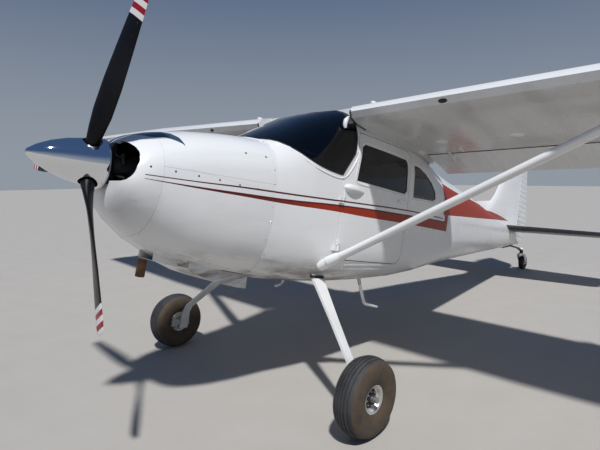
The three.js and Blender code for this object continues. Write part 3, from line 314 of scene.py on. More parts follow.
def fuselagePaint():
    made, spot = newMaterial("fuselagePaint", {**paint["coat"], "Specular IOR Level": 0.35})
    at = useGroup(placeGroup, Vector=spot)
    aft, up, half = at["Aft"], at["Up"], at["Half"]
    colour, rough, tone = whitePaint(spot)
    # The widening stripe with its darker top edge and its square foot, the flash, and the thin line.
    top, low = followCurve(aft, stripe["upper"]), followCurve(aft, stripe["lower"])
    onStripe = within(aft, stripe["start"], stripe["end"]) * within(up, low, top)
    foot = within(aft, *stripe["footAft"]) * within(up, *stripe["footUp"])
    onOrange = onStripe | flashMask(aft, up) | foot
    orange = tint(ease(aft, -0.1, 0.5, 0.75, 0.0), orangePaint(tone["Grain"]), paint["maroon"])
    orange = tint((up > top - stripe["darkEdge"]) * onStripe, orange, paint["maroon"])
    colour = tint(onOrange, colour, orange)
    offLine = abs(up - followCurve(aft, stripe["line"]))
    onLine = offLine < ease(aft, stripe["start"], 0.1, *stripe["lineHalf"])
    colour = tint(onLine * within(aft, stripe["start"], stripe["lineEnd"]), colour, paint["maroon"])
    # The matt panel on top of the nose runs out to a point on each side.
    onPanel = (half < followCurve(aft, stripe["panelHalf"], 0.0, 0.4)) * (up > stripe["panelLow"])
    onPanel = onPanel * (aft < ease(half, 0.1, 0.36, *stripe["panelEnd"]))
    colour = tint(onPanel, colour, paint["slate"])
    # Painted shade: near-black in the gap beside the spinner, and dark on the faces inside the cowl, with soot
    # there too. Oily brown streaks run under the body.
    besideShade = ease(aft, -0.9, -0.93) * ease(half, 0.118, 0.112) * ease(abs(up), 0.135, 0.12)
    colour = tint(besideShade, colour, paint["boot"])
    way = split(surfaceWay(spot))
    outward = way[0] * split(spot)[0] + way[2] * (up + 0.1)
    # Faces inside the cowl that turn inward are darkened as painted shade, with soot.
    colour = tint(ease(outward, -0.01, -0.03) * ease(aft, -0.4, -0.5), colour, paint["sootAndShade"])
    oil = noise(stretched(spot, (10.0, 1.6, 10.0)), 1.0, 6.0, 0.7)
    under = ease(up, -0.4, -0.62) * ease(aft, 1.9, 0.2, 0.25, 1.0)
    colour = tint(under * ease(oil, 0.4, 0.64, 0.1, 0.85), colour, paint["oil"])
    rough = rough | onOrange * 0.45 | onPanel * 0.42
    # Skin seams with their rivets, which barely show.
    line, rivets = seams(at["Side"], "fuselage")
    colour = tint(rivets * 0.12, tint(line * 0.1, colour, paint["seamAndShade"]), paint["seamAndShade"])
    height = rivets * 0.6 - line * 0.4 + tone["Patch"] * 0.35
    return dress(made, colour, rough, height, linked=[("Coat Weight", ease(onOrange, 0.0, 1.0, 0.35, 0.03))])


def finPaint():
    # The fin is plain but for the point of the flash at its foot.
    made, spot = newMaterial("finPaint", paint["coat"])
    at = useGroup(placeGroup, Vector=spot)
    colour, rough, tone = whitePaint(spot)
    colour = tint(flashMask(at["Aft"], at["Up"]), colour, orangePaint(tone["Grain"]))
    line, rivets = seams(at["Side"], "fin")
    colour = tint(line * 0.12, colour, paint["seamAndShade"])
    return dress(made, colour, rough, rivets * 0.7 + tone["Patch"] * 0.3, 0.4)


def bootedPaint():
    # Dark abrasion boots cover the stabiliser's leading edge, and its underside is painted as dark.
    made, spot = newMaterial("bootedPaint", paint["coat"])
    colour, rough, tone = whitePaint(spot, grime=0.4)
    way = put(spot.tree, "Mapping", {"Vector": surfaceWay(spot), "Rotation": (parked["tilt"], 0, 0)})
    aft, up = split(way)[1:]
    boot = ease(aft, -0.16, -0.26) | ease(up, -0.3, -0.5)
    colour = tint(boot * ease(tone["Speck"], 0, 1, 1.0, 0.8), colour, paint["boot"])
    return dress(made, colour, rough | boot * 0.55, tone["Grain"], 0.15)


def wingPaint():
    made, spot = newMaterial("wingPaint", paint["coat"])
    at = useGroup(placeGroup, Vector=spot)
    colour, rough, tone = whitePaint(spot, grime=0.3)
    line, rivets = seams(at["Plan"], "wing")
    ribPitch = calc("PINGPONG", at["Half"] - 0.62, 0.21)
    dots = ease(ribPitch, 0.004, 0.001) * ease(calc("PINGPONG", at["Aft"], 0.016), 0.0045, 0.002)
    colour = tint((dots | rivets) * 0.16, tint(line * 0.12, colour, paint["seamAndShade"]), paint["seamAndShade"])
    # The underside is painted darker as shade, and smeared with grime along the airflow.
    down = ease(split(surfaceWay(spot))[2], 0.0, -0.6)
    smears = noise(stretched(spot, (5.0, 0.8, 5.0)), 1.0, 6.0, 0.65)
    colour = tint(down * ease(smears, 0.42, 0.72, 0.1, 0.42), colour, paint["grime"])
    # An even darkening of the whole underside is painted shade.
    colour = tint(down * 0.32, colour, paint["underWingShade"])
    # The skin quilts a little between its ribs.
    height = rivets * 0.4 + dots * 0.5 + tone["Patch"] * 0.7 + ease(ribPitch, 0.0, 0.21) * 1.2
    return dress(made, colour, rough, height, 0.4)


def ribbedPaint(name, across, strength, shade):
    # Moving surfaces are skinned in beaded sheet: raised ribs at an even pitch.
    made, spot = newMaterial(name, paint["coat"])
    colour, rough, tone = whitePaint(spot)
    beads = calc("PINGPONG", useGroup(placeGroup, Vector=spot)[across], 0.042)
    # The grooves between the ribs are painted darker as shade, strongly on the rudder.
    grooveShade = ease(abs(beads - 0.016), 0.007, 0.0)
    height = ease(beads, 0.014, 0.0) + tone["Patch"] * 0.1
    return dress(made, tint(grooveShade * shade, colour, paint["seamAndShade"]), rough, height, strength, 0.003)


def plainPaint(name, chips=0.0, base="white", grime=0.4):
    made, spot = newMaterial(name, paint["coat"])
    colour, rough, tone = whitePaint(spot, base, grime)
    if chips:
        chipped = ease(noise(spot, 38.0, 4.0, 0.7), 0.66, 0.7, 0.0, chips)
        colour = tint(chipped, colour, paint["bareSpot"])
        rough = rough + chipped * 0.3
    return dress(made, colour, rough, tone["Patch"] * 0.4, 0.3)


def metal(name, colour, darker, roughness, metallic=1.0, strength=0.25, patches=3.0):
    made, spot = newMaterial(name, {"Metallic": metallic})
    tone = toneOf(spot, patches, 120.0)
    mixed = tint(tone["Patch"] * 0.7, colour, darker)
    return dress(made, tint(tone["Speck"] * 0.4, mixed, darker), ease(tone["Patch"], 0, 1, *roughness),
                 tone["Grain"], strength, 0.0008)


def tintedGlass():
    made, spot = newMaterial("tintedGlass", {"Transmission Weight": 1.0, "IOR": 1.5})
    haze = noise(spot, 3.0, 5.0)
    inputs = made.node_tree.nodes["Principled BSDF"].inputs
    feed(inputs["Base Color"], tint(haze, (0.06, 0.07, 0.085), (0.1, 0.11, 0.125)))
    feed(inputs["Roughness"], ease(haze, 0.45, 0.75, 0.012, 0.05))
    return made


blades = {
    "hub": (-0.0019, -3.6176, 1.7491), "bandStart": 0.885, "bandPitch": 0.03,
    "black": ((0.0035, 0.0035, 0.005), (0.009, 0.009, 0.011)), "scoured": (0.16, 0.16, 0.16),
    "bands": ((0.7, 0.69, 0.67), (0.3, 0.01, 0.022)),
}


def bladePaint():
    made, spot = newMaterial("bladePaint", {"Specular IOR Level": 0.15})
    tone = toneOf(spot, 4.0, 90.0)
    arm = vectorCalc("DISTANCE", spot, blades["hub"], out="Value")
    # The outer half is scoured by grit, and the tip has its red and white bands.
    scour = tone["Speck"] * ease(arm, 0.4, 1.0, 0.1, 0.5)
    black = tint(scour, tint(tone["Patch"] * 0.8, *blades["black"]), blades["scoured"])
    step = calc("FLOOR", calc("DIVIDE", arm - blades["bandStart"], blades["bandPitch"]))
    band = tint(calc("MODULO", step, 2.0) > 0.5, *blades["bands"])
    colour = tint(arm > blades["bandStart"], black, tint(tone["Speck"] * 0.3, band, paint["grime"]))
    return dress(made, colour, ease(tone["Patch"], 0, 1, 0.28, 0.42), tone["Grain"], 0.15, 0.0005)


tyreRubber = {
    "dust": (0.082, 0.055, 0.032), "black": ((0.022, 0.022, 0.025), (0.045, 0.045, 0.048)), "mainFrom": 0.5,
    "mainWheelX": 1.15, "mainWall": (0.06, 0.074), "tailWall": (0.022, 0.034),
}


def rubber():
    made, spot = newMaterial("dustyRubber", {})
    tone = toneOf(spot, 9.0, 220.0)
    # Brown dust keeps to the sidewalls; the tread is scuffed grey.
    across = abs(split(spot)[0])
    main = across > tyreRubber["mainFrom"]
    off = abs(across - main * tyreRubber["mainWheelX"])
    onTail = calc("SUBTRACT", 1.0, main) * ease(off, *tyreRubber["tailWall"])
    wall = main * ease(off, *tyreRubber["mainWall"]) | onTail
    dust = wall * ease(noise(spot, 16.0, 6.0, 0.65), 0.3, 0.65, 0.35, 1.0) | tone["Speck"] * 0.25
    colour = tint(dust, tint(tone["Patch"], *tyreRubber["black"]), tyreRubber["dust"])
    return dress(made, colour, ease(tone["Grain"], 0.3, 0.7, 0.62, 0.85), tone["Grain"], 0.35, 0.0012)


def lens(name, colour):
    # Moulded lamp glass, with the faint flutes of its moulding.
    made, spot = newMaterial(name, {"Coat Weight": 1.0})
    flute = calc("PINGPONG", split(spot)[1], 0.003)
    tone = toneOf(spot, 20.0, 200.0)
    return dress(made, tint(tone["Patch"] * 0.4, colour, [c * 0.6 for c in colour]),
                 ease(tone["Grain"], 0.3, 0.7, 0.05, 0.15), flute * 300.0, 0.3, 0.0006)


def wovenCloth():
    made, spot = newMaterial("seatCloth", {"Sheen Weight": 0.3})
    tone = toneOf(spot, 6.0, 300.0)
    x, y, z = split(spot)
    weave = (calc("PINGPONG", x, 0.0022) + calc("PINGPONG", y + z, 0.0022)) * 230.0
    colour = tint(tone["Patch"], (0.105, 0.09, 0.075), (0.15, 0.13, 0.105))
    return dress(made, tint(weave * 0.5, colour, (0.05, 0.043, 0.036)),
                 ease(tone["Grain"], 0.2, 0.8, 0.8, 0.95), weave, 0.4, 0.001)


finish = {
    "fuselage": fuselagePaint(), "fin": finPaint(), "wing": wingPaint(), "boot": bootedPaint(),
    "ribsAcross": ribbedPaint("beadedSkinSpan", "Half", 0.3, 0.07),
    "ribsUp": ribbedPaint("beadedSkinUpright", "Up", 1.0, 0.55), "plain": plainPaint("plainPaint"),
    # The lighter white is a painted highlight, for the aerial and rivets that stand in the shade under the
    # body.
    "clean": plainPaint("litWhitePaint", base="bright", grime=0.1), "leg": plainPaint("legPaint", chips=0.8),
    "glass": tintedGlass(), "blade": bladePaint(), "rubber": rubber(), "cloth": wovenCloth(),
    "red": lens("redLens", (0.35, 0.004, 0.004)), "green": lens("greenLens", (0.004, 0.22, 0.05)),
    "clear": lens("clearLens", (0.6, 0.62, 0.63)),
    "polished": metal("polishedMetal", (0.86, 0.86, 0.87), (0.76, 0.77, 0.79), (0.03, 0.09), strength=0.03),
    "bare": metal("bareMetal", (0.55, 0.56, 0.57), (0.35, 0.35, 0.36), (0.3, 0.5)),
    "rim": metal("rimPaint", (0.74, 0.73, 0.71), (0.45, 0.42, 0.38), (0.22, 0.42), 0.7, patches=12.0),
    "dark": metal("darkMetal", (0.02, 0.02, 0.022), (0.04, 0.039, 0.037), (0.4, 0.65), 0.5),
    "engine": metal("engineCastings", (0.12, 0.12, 0.125), (0.05, 0.05, 0.05), (0.5, 0.75), 0.5, 0.6),
    "exhaust": metal("heatedSteel", (0.22, 0.115, 0.055), (0.08, 0.05, 0.03), (0.4, 0.7), 0.6, patches=14.0),
    "trim": metal("darkTrim", (0.02, 0.02, 0.022), (0.035, 0.034, 0.033), (0.5, 0.7), 0.0, 0.5),
    "seal": metal("rubberSeal", (0.01, 0.01, 0.011), (0.022, 0.021, 0.02), (0.5, 0.7), 0.0, 0.3, 10.0),
    "baffle": metal("baffleSeal", (0.42, 0.39, 0.33), (0.28, 0.25, 0.2), (0.5, 0.7), 0.1),
}
print("materials made:", len(finish))

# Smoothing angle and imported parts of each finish; left, right and numbered parts go by one name.
partFinish = {
    "fuselage": (40,
        "cabin_roof cabin_belly cabin_side door nose_bowl cowl_upper cowl_lower cowl_flap tail_cone"),
    "fin": (42, "fin"), "boot": (42, "stabiliser"), "glass": (30, "windshield rear_window door_window"),
    "wing": (40, "wing"), "ribsAcross": (35, "flap aileron elevators"), "ribsUp": (35, "rudder"),
    "plain": (42, "wing_strut tail_fork air_scoop"), "leg": (50, "gear_leg"), "polished": (30, "spinner"),
    "bare": (35, "firewall propeller_hub axle"), "rim": (35, "main_rim tail_rim"), "engine": (35, "engine"),
    "dark": (35, "tail_spring front_seat_frame"), "exhaust": (35, "exhaust_pipe"),
    "blade": (45, "propeller_blade"),
    "trim": (35, "baggage_bulkhead instrument_panel control_wheel"),
    "rubber": (35, "main_tyre tail_tyre"), "cloth": (35, "front_seat_pad rear_bench_pad"),
}


def partsOf(kind):
    names = partFinish[kind][1].split()
    return [part for part in nodes if re.sub("_(left|right|[123])", "", part) in names]


def pointKey(mesh, v):
    return tuple(round(c, 5) for c in mesh.vertices[v].co)


def shadeSmooth(part, limit):
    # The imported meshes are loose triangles, so each corner gets the mean normal of the faces round its point.
    mesh = part.data
    faces = mesh.polygons
    normals = [f.normal.copy() for f in faces]
    corners = {}
    for f in faces:
        spots = [mesh.vertices[v].co for v in f.vertices]
        for i, v in enumerate(f.vertices):
            angle = (spots[i - 1] - spots[i]).angle(spots[(i + 1) % 3] - spots[i], 0.0)
            corners.setdefault(pointKey(mesh, v), []).append((f.index, angle))
    given = [None] * len(mesh.loops)
    least = math.cos(math.radians(limit))
    for f in faces:
        for loop, v in zip(f.loop_indices, f.vertices):
            total = Vector()
            for other, angle in corners[pointKey(mesh, v)]:
                if normals[other].dot(normals[f.index]) > least:
                    total += normals[other] * angle
            given[loop] = total.normalized() if total.length > 1e-9 else normals[f.index]
    faces.foreach_set("use_smooth", [True] * len(faces))
    mesh.normals_split_custom_set(given)


dressed = 0
for kind, (limit, names) in partFinish.items():
    for name in partsOf(kind):
        nodes[name].data.materials.clear()
        nodes[name].data.materials.append(finish[kind])
        shadeSmooth(nodes[name], limit)
        dressed += 1
print("parts finished:", dressed)


def addPiece(name, bm, kind, body, replaced, sharp, level):
    if level:
        bmesh.ops.transform(bm, matrix=levelToRow, verts=bm.verts)
    mesh = bpy.data.meshes.new(name)
    bm.to_mesh(mesh)
    bm.free()
    mesh.polygons.foreach_set("use_smooth", [True] * len(mesh.polygons))
    mesh.set_sharp_from_angle(angle=math.radians(sharp))
    mesh.materials.append(finish[kind])
    made = bpy.data.objects.new(name, mesh)
    scene.collection.objects.link(made)
    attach(made, body)
    if replaced:
        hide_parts(replaced)
    return made


@contextmanager
def piece(name, kind, sharp=32, body="airframe", replaced=None, level=True, mirror=None):
    # What is shaped inside the block becomes one piece; level=False is for parts laid out as parked.
    bm = bmesh.new()
    yield bm
    if mirror:
        bmesh.ops.scale(bm, vec=(-1, 1, 1), space=Matrix.Translation(-mirror), verts=bm.verts)
        bmesh.ops.recalc_face_normals(bm, faces=bm.faces)
    addPiece(name, bm, kind, body, replaced, sharp, level)


def spun(bm, outline, centre, steps, axis=(1, 0, 0)):
    # Turns an open or closed outline of (along, radius) pairs once round an axis.
    axis = Vector(axis).normalized()
    side = axis.orthogonal().normalized()
    verts = [bm.verts.new(Vector(centre) + axis * a + side * r) for a, r in outline]
    edges = [bm.edges.new(pair) for pair in zip(verts, verts[1:])]
    bmesh.ops.spin(bm, geom=verts + edges, cent=centre, axis=axis, dvec=(0, 0, 0), angle=math.tau,
                   steps=steps, use_merge=True, use_duplicate=False)
    bmesh.ops.remove_doubles(bm, verts=bm.verts, dist=1e-5)
    bmesh.ops.recalc_face_normals(bm, faces=bm.faces)


def edgesOf(verts):
    return list(dict.fromkeys(e for v in verts for e in v.link_edges))


def hoop(bm, sides, radius, matrix):
    verts = bmesh.ops.create_circle(bm, cap_ends=False, segments=sides, radius=radius, matrix=matrix)["verts"]
    return edgesOf(verts)


def bridged(bm, hoops):
    for a, b in zip(hoops, hoops[1:]):
        bmesh.ops.bridge_loops(bm, edges=a + b)


def tube(bm, points, radii, sides=12):
    # Rings across a path, bridged one to the next and capped.
    points = [Vector(p) for p in points]
    radii = radii if isinstance(radii, list) else [radii] * len(points)
    rings = []
    guide = None
    for i, spot in enumerate(points):
        ahead = (points[min(i + 1, len(points) - 1)] - points[max(i - 1, 0)]).normalized()
        guide = (guide - ahead * guide.dot(ahead) if guide else ahead.orthogonal()).normalized()
        turn = Matrix((guide, ahead.cross(guide), ahead)).transposed().to_4x4()
        rings.append(hoop(bm, sides, radii[i], Matrix.Translation(spot) @ turn))
    bridged(bm, rings)
    for ring in (rings[0], rings[-1]):
        bmesh.ops.contextual_create(bm, geom=ring)
    bmesh.ops.recalc_face_normals(bm, faces=bm.faces)


def bead(bm, ring, facing, radius, flat=1.0):
    # A moulded strip along a closed ring of points; facing is the way out of the surface at each.
    hoops = []
    for i, spot in enumerate(ring):
        ahead = (ring[(i + 1) % len(ring)] - ring[i - 1]).normalized()
        out = (facing[i] - ahead * facing[i].dot(ahead)).normalized()
        turn = Matrix((ahead.cross(out), out, ahead)).transposed().to_4x4()
        hoops.append(hoop(bm, 6, radius, Matrix.Translation(spot) @ turn @ Matrix.Diagonal((1, flat, 1, 1))))
    bridged(bm, hoops + hoops[:1])
    bmesh.ops.recalc_face_normals(bm, faces=bm.faces)


def evenly(points, count):
    # Spreads points evenly along a closed ring.
    closed = points + [points[0]]
    runs = [0.0]
    for a, b in zip(closed, closed[1:]):
        runs.append(runs[-1] + (b - a).length)
    spread, i = [], 0
    for k in range(count):
        want = runs[-1] * k / count
        while runs[i + 1] < want:
            i += 1
        spread.append(closed[i].lerp(closed[i + 1], (want - runs[i]) / max(runs[i + 1] - runs[i], 1e-9)))
    return spread


def walk(edges):
    # The longest ring of points among loose edges.
    left, rings = dict.fromkeys(edges), []
    while left:
        edge = next(iter(left))
        left.pop(edge)
        ring = list(edge.verts)
        while ahead := next((e for e in ring[-1].link_edges if e in left), None):
            left.pop(ahead)
            ring.append(ahead.other_vert(ring[-1]))
        rings.append([v.co.copy() for v in ring])
    return max(rings, key=len)


def levelCopy(name):
    bm = bmesh.new()
    bm.from_mesh(nodes[name].data)
    bmesh.ops.remove_doubles(bm, verts=bm.verts, dist=1e-4)
    bmesh.ops.transform(bm, matrix=rowToLevel, verts=bm.verts)
    bm.normal_update()
    return bm


def ringOf(name, spot, facing, count):
    # The outline of a part where a plane cuts it.
    bm = levelCopy(name)
    cut = bmesh.ops.bisect_plane(bm, geom=bm.verts[:] + bm.edges[:] + bm.faces[:], dist=1e-5, plane_co=spot,
                                 plane_no=facing)["geom_cut"]
    ring = evenly(walk([e for e in cut if isinstance(e, bmesh.types.BMEdge)]), count)
    bm.free()
    return ring


def rimOf(name, centre, count):
    # The outer edge of a window, with the way out of the cabin at each point.
    bm = levelCopy(name)

    def wayOut(spot):
        x, y, z = centre
        return (spot - Vector((x, spot.y if y is None else y, z))).normalized()
    outer = {f: f.normal.dot(wayOut(f.calc_center_median())) > 0.5 for f in bm.faces}
    edges = [e for e in bm.edges if len({outer[f] for f in e.link_faces}) == 2]
    ring = evenly(walk(edges), count)
    bm.free()
    return ring, [wayOut(p) for p in ring]


def sleeve(bm, rings, grow):
    # Skins a stack of rings, each swollen about its own middle, and joins the last to the first.
    hoops = []
    for ring, scale in zip(rings, grow):
        middle = sum(ring, Vector()) / len(ring)
        verts = [bm.verts.new(middle + (p - middle) * scale) for p in ring]
        hoops.append([bm.edges.new(pair) for pair in zip(verts, verts[1:] + verts[:1])])
    bridged(bm, hoops + hoops[:1])
    bmesh.ops.recalc_face_normals(bm, faces=bm.faces)


def block(bm, size, centre, edge=0.003, turn=None, segments=2):
    # A block with bevelled edges, for cast and folded parts.
    made = bmesh.ops.create_cube(bm, size=1.0)["verts"]
    bmesh.ops.scale(bm, vec=size, verts=made)
    if edge:
        edges = edgesOf(made)
        made = bmesh.ops.bevel(bm, geom=edges, offset=edge, affect="EDGES", segments=segments, profile=0.5,
                               material=-1, clamp_overlap=True)["verts"]
    linked = {w for v in made if v.is_valid for e in v.link_edges for w in e.verts}
    bmesh.ops.transform(bm, matrix=Matrix.Translation(centre) @ (turn or Matrix()), verts=list(linked))


def turnTo(facing, along="Z", up="Y"):
    return Vector(facing).to_track_quat(along, up).to_matrix().to_4x4()


def disc(bm, spot, turn, radius, height, sides, top=None):
    bmesh.ops.create_cone(bm, cap_ends=True, segments=sides, radius1=radius, radius2=top or radius,
                          depth=height, matrix=Matrix.Translation(spot) @ turn)


def stud(bm, spot, outward, radius, height, sides=10):
    # A screw or rivet head that stands on a surface.
    disc(bm, spot, turnTo(outward), radius, height * 1.6, sides, radius * 0.5)


def blob(bm, half, centre, across=20, down=12):
    made = bmesh.ops.create_uvsphere(bm, u_segments=across, v_segments=down, radius=1.0)["verts"]
    bmesh.ops.scale(bm, vec=half, verts=made)
    bmesh.ops.translate(bm, vec=centre, verts=made)


def treeOf(*names):
    # The skin of some parts in level metres, to set pieces on.
    verts, faces = [], []
    for name in names:
        mesh = nodes[name].data
        base = len(verts)
        verts.extend(rowToLevel @ v.co for v in mesh.vertices)
        faces.extend(tuple(base + i for i in p.vertices) for p in mesh.polygons)
    return BVHTree.FromPolygons(verts, faces)


def aim(tree, start, way):
    # Where a ray first meets the skin, and which way the skin faces there.
    return tree.ray_cast(Vector(start), Vector(way))[:2]


bodyTree = treeOf(*[part for part in partsOf("fuselage") + partsOf("glass") if "flap" not in part])
wingTree = treeOf("wing_left", "wing_right")


def onSide(y, z, side=1):
    return aim(bodyTree, (2.0 * side, y, z), (-side, 0, 0))


def onWing(x, y, up):
    return aim(wingTree, (x, y, 2.0 if up else -1.0), (0, 0, -1 if up else 1))


# Wheels: outlines are (along the axle, radius) pairs.
wheel = {
    "centre": (1.15, -2.402, 0.258), "halfWidth": 0.092, "radius": 0.258, "rimRadius": 0.082,
    "grooves": (-0.048, -0.024, 0.0, 0.024, 0.048), "grooveDepth": 0.006, "grooveHalf": 0.003, "steps": 96,
}
tailWheel = {
    "centre": (0.0, 3.788, 0.122), "halfWidth": 0.042, "radius": 0.122, "rimRadius": 0.045,
    "grooves": (-0.016, 0.0, 0.016), "grooveDepth": 0.004, "grooveHalf": 0.002, "steps": 64,
}
# Shares of the tyre's half width and radius, from the shoulder in to the rim.
tyreWall = [
    (0.8, 0.915), (0.9, 0.868), (0.97, 0.8), (1.0, 0.71), (0.99, 0.61), (0.94, 0.52), (0.86, 0.44),
    (0.78, 0.395),
]
rim = {
    "dish": [(-0.07, 0.02), (-0.07, 0.046), (-0.052, 0.052), (-0.046, 0.076), (-0.066, 0.079),
        (-0.0705, 0.0905), (-0.064, 0.0925), (-0.06, 0.0815), (0.056, 0.0815), (0.062, 0.0925),
        (0.0665, 0.0935), (0.0685, 0.0915), (0.0665, 0.085), (0.06, 0.0785), (0.05, 0.074), (0.04, 0.07),
        (0.033, 0.062), (0.03, 0.054), (0.028, 0.02), (-0.07, 0.02)],
    "centre": [(0.024, 0.019), (0.024, 0.06), (0.0345, 0.0615), (0.0375, 0.058), (0.0355, 0.05),
        (0.0355, 0.034), (0.046, 0.03), (0.05, 0.024), (0.05, 0.019), (0.024, 0.019)],
    "cap": [(0.046, 0.0), (0.046, 0.019), (0.055, 0.0185), (0.06, 0.015), (0.062, 0.009), (0.0625, 0.0)],
    "brake": [(-0.08, 0.05), (-0.08, 0.076), (-0.074, 0.076), (-0.074, 0.05), (-0.08, 0.05)],
    "bolts": 8, "boltRing": 0.045, "boltOut": 0.041, "bolt": (0.006, 0.012, 6, 0.0055),
    "lugs": 6, "lugRing": 0.056, "lugOut": 0.037, "lug": (0.008, 0.016, 0.006),
}
sideways = Matrix.Rotation(math.pi / 2, 4, "Y")


def tyreOutline(spec):
    half, radius, cut = spec["halfWidth"], spec["radius"], spec["grooveHalf"]
    tread = half * 0.7
    marks = [g + cut * share for g in spec["grooves"] for share in (-1.25, -1, 1, 1.25)]
    crown = []
    for a in [-tread, *marks, tread]:
        inside = any(abs(abs(a - g) - cut) < 1e-6 for g in spec["grooves"])
        crown.append((a, radius - 0.02 * (abs(a) / tread) ** 2.2 - (spec["grooveDepth"] if inside else 0.0)))
    wall = [(half * a, radius * r) for a, r in tyreWall]
    wall += [(half * 0.72, spec["rimRadius"] + 0.008), (half * 0.66, spec["rimRadius"] + 0.001)]
    outline = [(-a, r) for a, r in reversed(wall)] + crown + wall
    return outline + [outline[0]]


def buildWheel(word, side):
    # Tyre, deep bright dish, dark centre with its lugs and bolts, hub cap and brake disc.
    centre = Vector((wheel["centre"][0] * side, *wheel["centre"][1:]))
    body = f"main_wheel_{word}"

    def ringSpots(count, first, out, radius):
        for i in range(count):
            a = math.tau * (i + first) / count
            yield a, centre + Vector((out, radius * math.cos(a), radius * math.sin(a)))

    def wheelPiece(name, kind, sharp=32, replaced=None):
        # The right wheel's pieces are the left one's, mirrored.
        return piece(f"{name}_{word}", kind, sharp, body, replaced, False, centre if side < 0 else None)

    with piece(f"treaded_tyre_{word}", "rubber", 28, body, f"main_tyre_{word}", False) as bm:
        spun(bm, tyreOutline(wheel), centre, wheel["steps"])
    with wheelPiece("bolted_rim", "rim", 30, f"main_rim_{word}") as bm:
        spun(bm, rim["dish"], centre, 72)
    with wheelPiece("wheel_centre", "dark", 30) as bm:
        spun(bm, rim["centre"], centre, 48)
        for a, spot in ringSpots(rim["lugs"], 0.5, rim["lugOut"], rim["lugRing"]):
            block(bm, rim["lug"], spot, 0.002, Matrix.Rotation(a + math.pi / 2, 4, "X"))
    with wheelPiece("wheel_bolts", "bare", 30) as bm:
        for a, spot in ringSpots(rim["bolts"], 0, rim["boltOut"], rim["boltRing"]):
            disc(bm, spot, sideways, *rim["bolt"])
    with wheelPiece("hub_cap", "rim") as bm:
        spun(bm, rim["cap"], centre, 32)
    with wheelPiece("brake_disc", "rim") as bm:
        spun(bm, rim["brake"], centre, 48)


for word, side in hands.items():
    buildWheel(word, side)
with piece("tail_tyre_treaded", "rubber", 28, "tail_wheel", "tail_tyre", False) as bm:
    spun(bm, tyreOutline(tailWheel), tailWheel["centre"], tailWheel["steps"])
print("wheels built")

cushion = {"voxel": 0.01, "pressure": 4.0, "cap": 0.022, "shrink": 0.012, "frames": 20, "fill": 0.6}


def applyModifiers(made):
    old = made.data
    mesh = bpy.data.meshes.new_from_object(made.evaluated_get(bpy.context.evaluated_depsgraph_get()))
    made.modifiers.clear()
    made.data = mesh
    bpy.data.meshes.remove(old)


def buildCushion(name, node):
    # The pad's shape, shrunk a little, is remeshed and swollen as cloth under pressure.
    bm = bmesh.new()
    bm.from_mesh(nodes[node].data)
    bmesh.ops.remove_doubles(bm, verts=bm.verts, dist=1e-4)
    bmesh.ops.recalc_face_normals(bm, faces=bm.faces)
    for v in bm.verts:
        v.normal_update()
    for v in bm.verts:
        v.co -= v.normal * cushion["shrink"]
    made = addPiece(name, bm, "cloth", "airframe", node, 180, False)
    remesh = made.modifiers.new("remesh", "REMESH")
    remesh.mode = "VOXEL"
    remesh.voxel_size = cushion["voxel"]
    remesh.use_smooth_shade = True
    applyModifiers(made)
    before = [v.co.copy() for v in made.data.vertices]
    cloth = made.modifiers.new("cloth", "CLOTH")
    cloth.settings.use_pressure = True
    cloth.settings.uniform_pressure_force = cushion["pressure"]
    cloth.settings.effector_weights.gravity = 0
    cloth.point_cache.frame_start = 1
    cloth.point_cache.frame_end = cushion["frames"]
    for step in range(1, cushion["frames"] + 1):
        scene.frame_set(step)
    applyModifiers(made)
    for v, rest in zip(made.data.vertices, before):
        moved = v.co - rest
        if moved.length > cushion["cap"]:
            v.co = rest + moved.normalized() * cushion["cap"]
    scene.frame_set(1)
    bm = bmesh.new()
    bm.from_mesh(made.data)
    for _ in range(3):
        bmesh.ops.smooth_vert(bm, verts=bm.verts, factor=0.5, use_axis_x=True, use_axis_y=True,
                              use_axis_z=True)
    bm.to_mesh(made.data)
    bm.free()
    made.data.polygons.foreach_set("use_smooth", [True] * len(made.data.polygons))


for word in hands:
    buildCushion(f"front_seat_{word}_cushion", f"front_seat_{word}_pad")
buildCushion("rear_bench_cushion", "rear_bench_pad")
print("seats built")

# A pane faces away from its centre; None takes each point's own y.
seal = {"radius": 0.0045, "points": 90, "reach": 0.25, "frameFlat": 0.45}
sidePane = {"centre": (0, None, 0.2), "frameOut": 0.022, "frameRadius": 0.0085}
screen = {"centre": (0, 1.3, -0.2), "frameOut": 0.028, "frameRadius": 0.0075}


def buildWindowSeal(name, body, pane):
    # A black rubber bead holds the pane, and a pressed white frame runs round it.
    ring, facing = rimOf(name, pane["centre"], seal["points"])
    with piece(f"{name}_seal", "seal", 80, body) as bm:
        bead(bm, ring, facing, seal["radius"])
    middle = sum(ring, Vector()) / len(ring)
    onSkin = []
    for i, (spot, out) in enumerate(zip(ring, facing)):
        across = (ring[(i + 3) % len(ring)] - ring[i - 3]).cross(out).normalized()
        spot = spot + (across if across.dot(spot - middle) > 0 else -across) * pane["frameOut"]
        hit = bodyTree.ray_cast(spot + out * seal["reach"], -out, seal["reach"] * 2)[0]
        onSkin.append(hit or spot)
    for _ in range(2):
        onSkin = [(onSkin[i - 1] + p * 2 + onSkin[(i + 1) % len(onSkin)]) / 4 for i, p in enumerate(onSkin)]
    with piece(f"{name}_frame", "plain", 80, body) as bm:
        bead(bm, onSkin, facing, pane["frameRadius"], seal["frameFlat"])


for word in hands:
    buildWindowSeal(f"door_window_{word}", f"door_{word}", sidePane)
    buildWindowSeal(f"rear_window_{word}", "airframe", sidePane)
buildWindowSeal("windshield", "airframe", screen)
print("windows sealed")

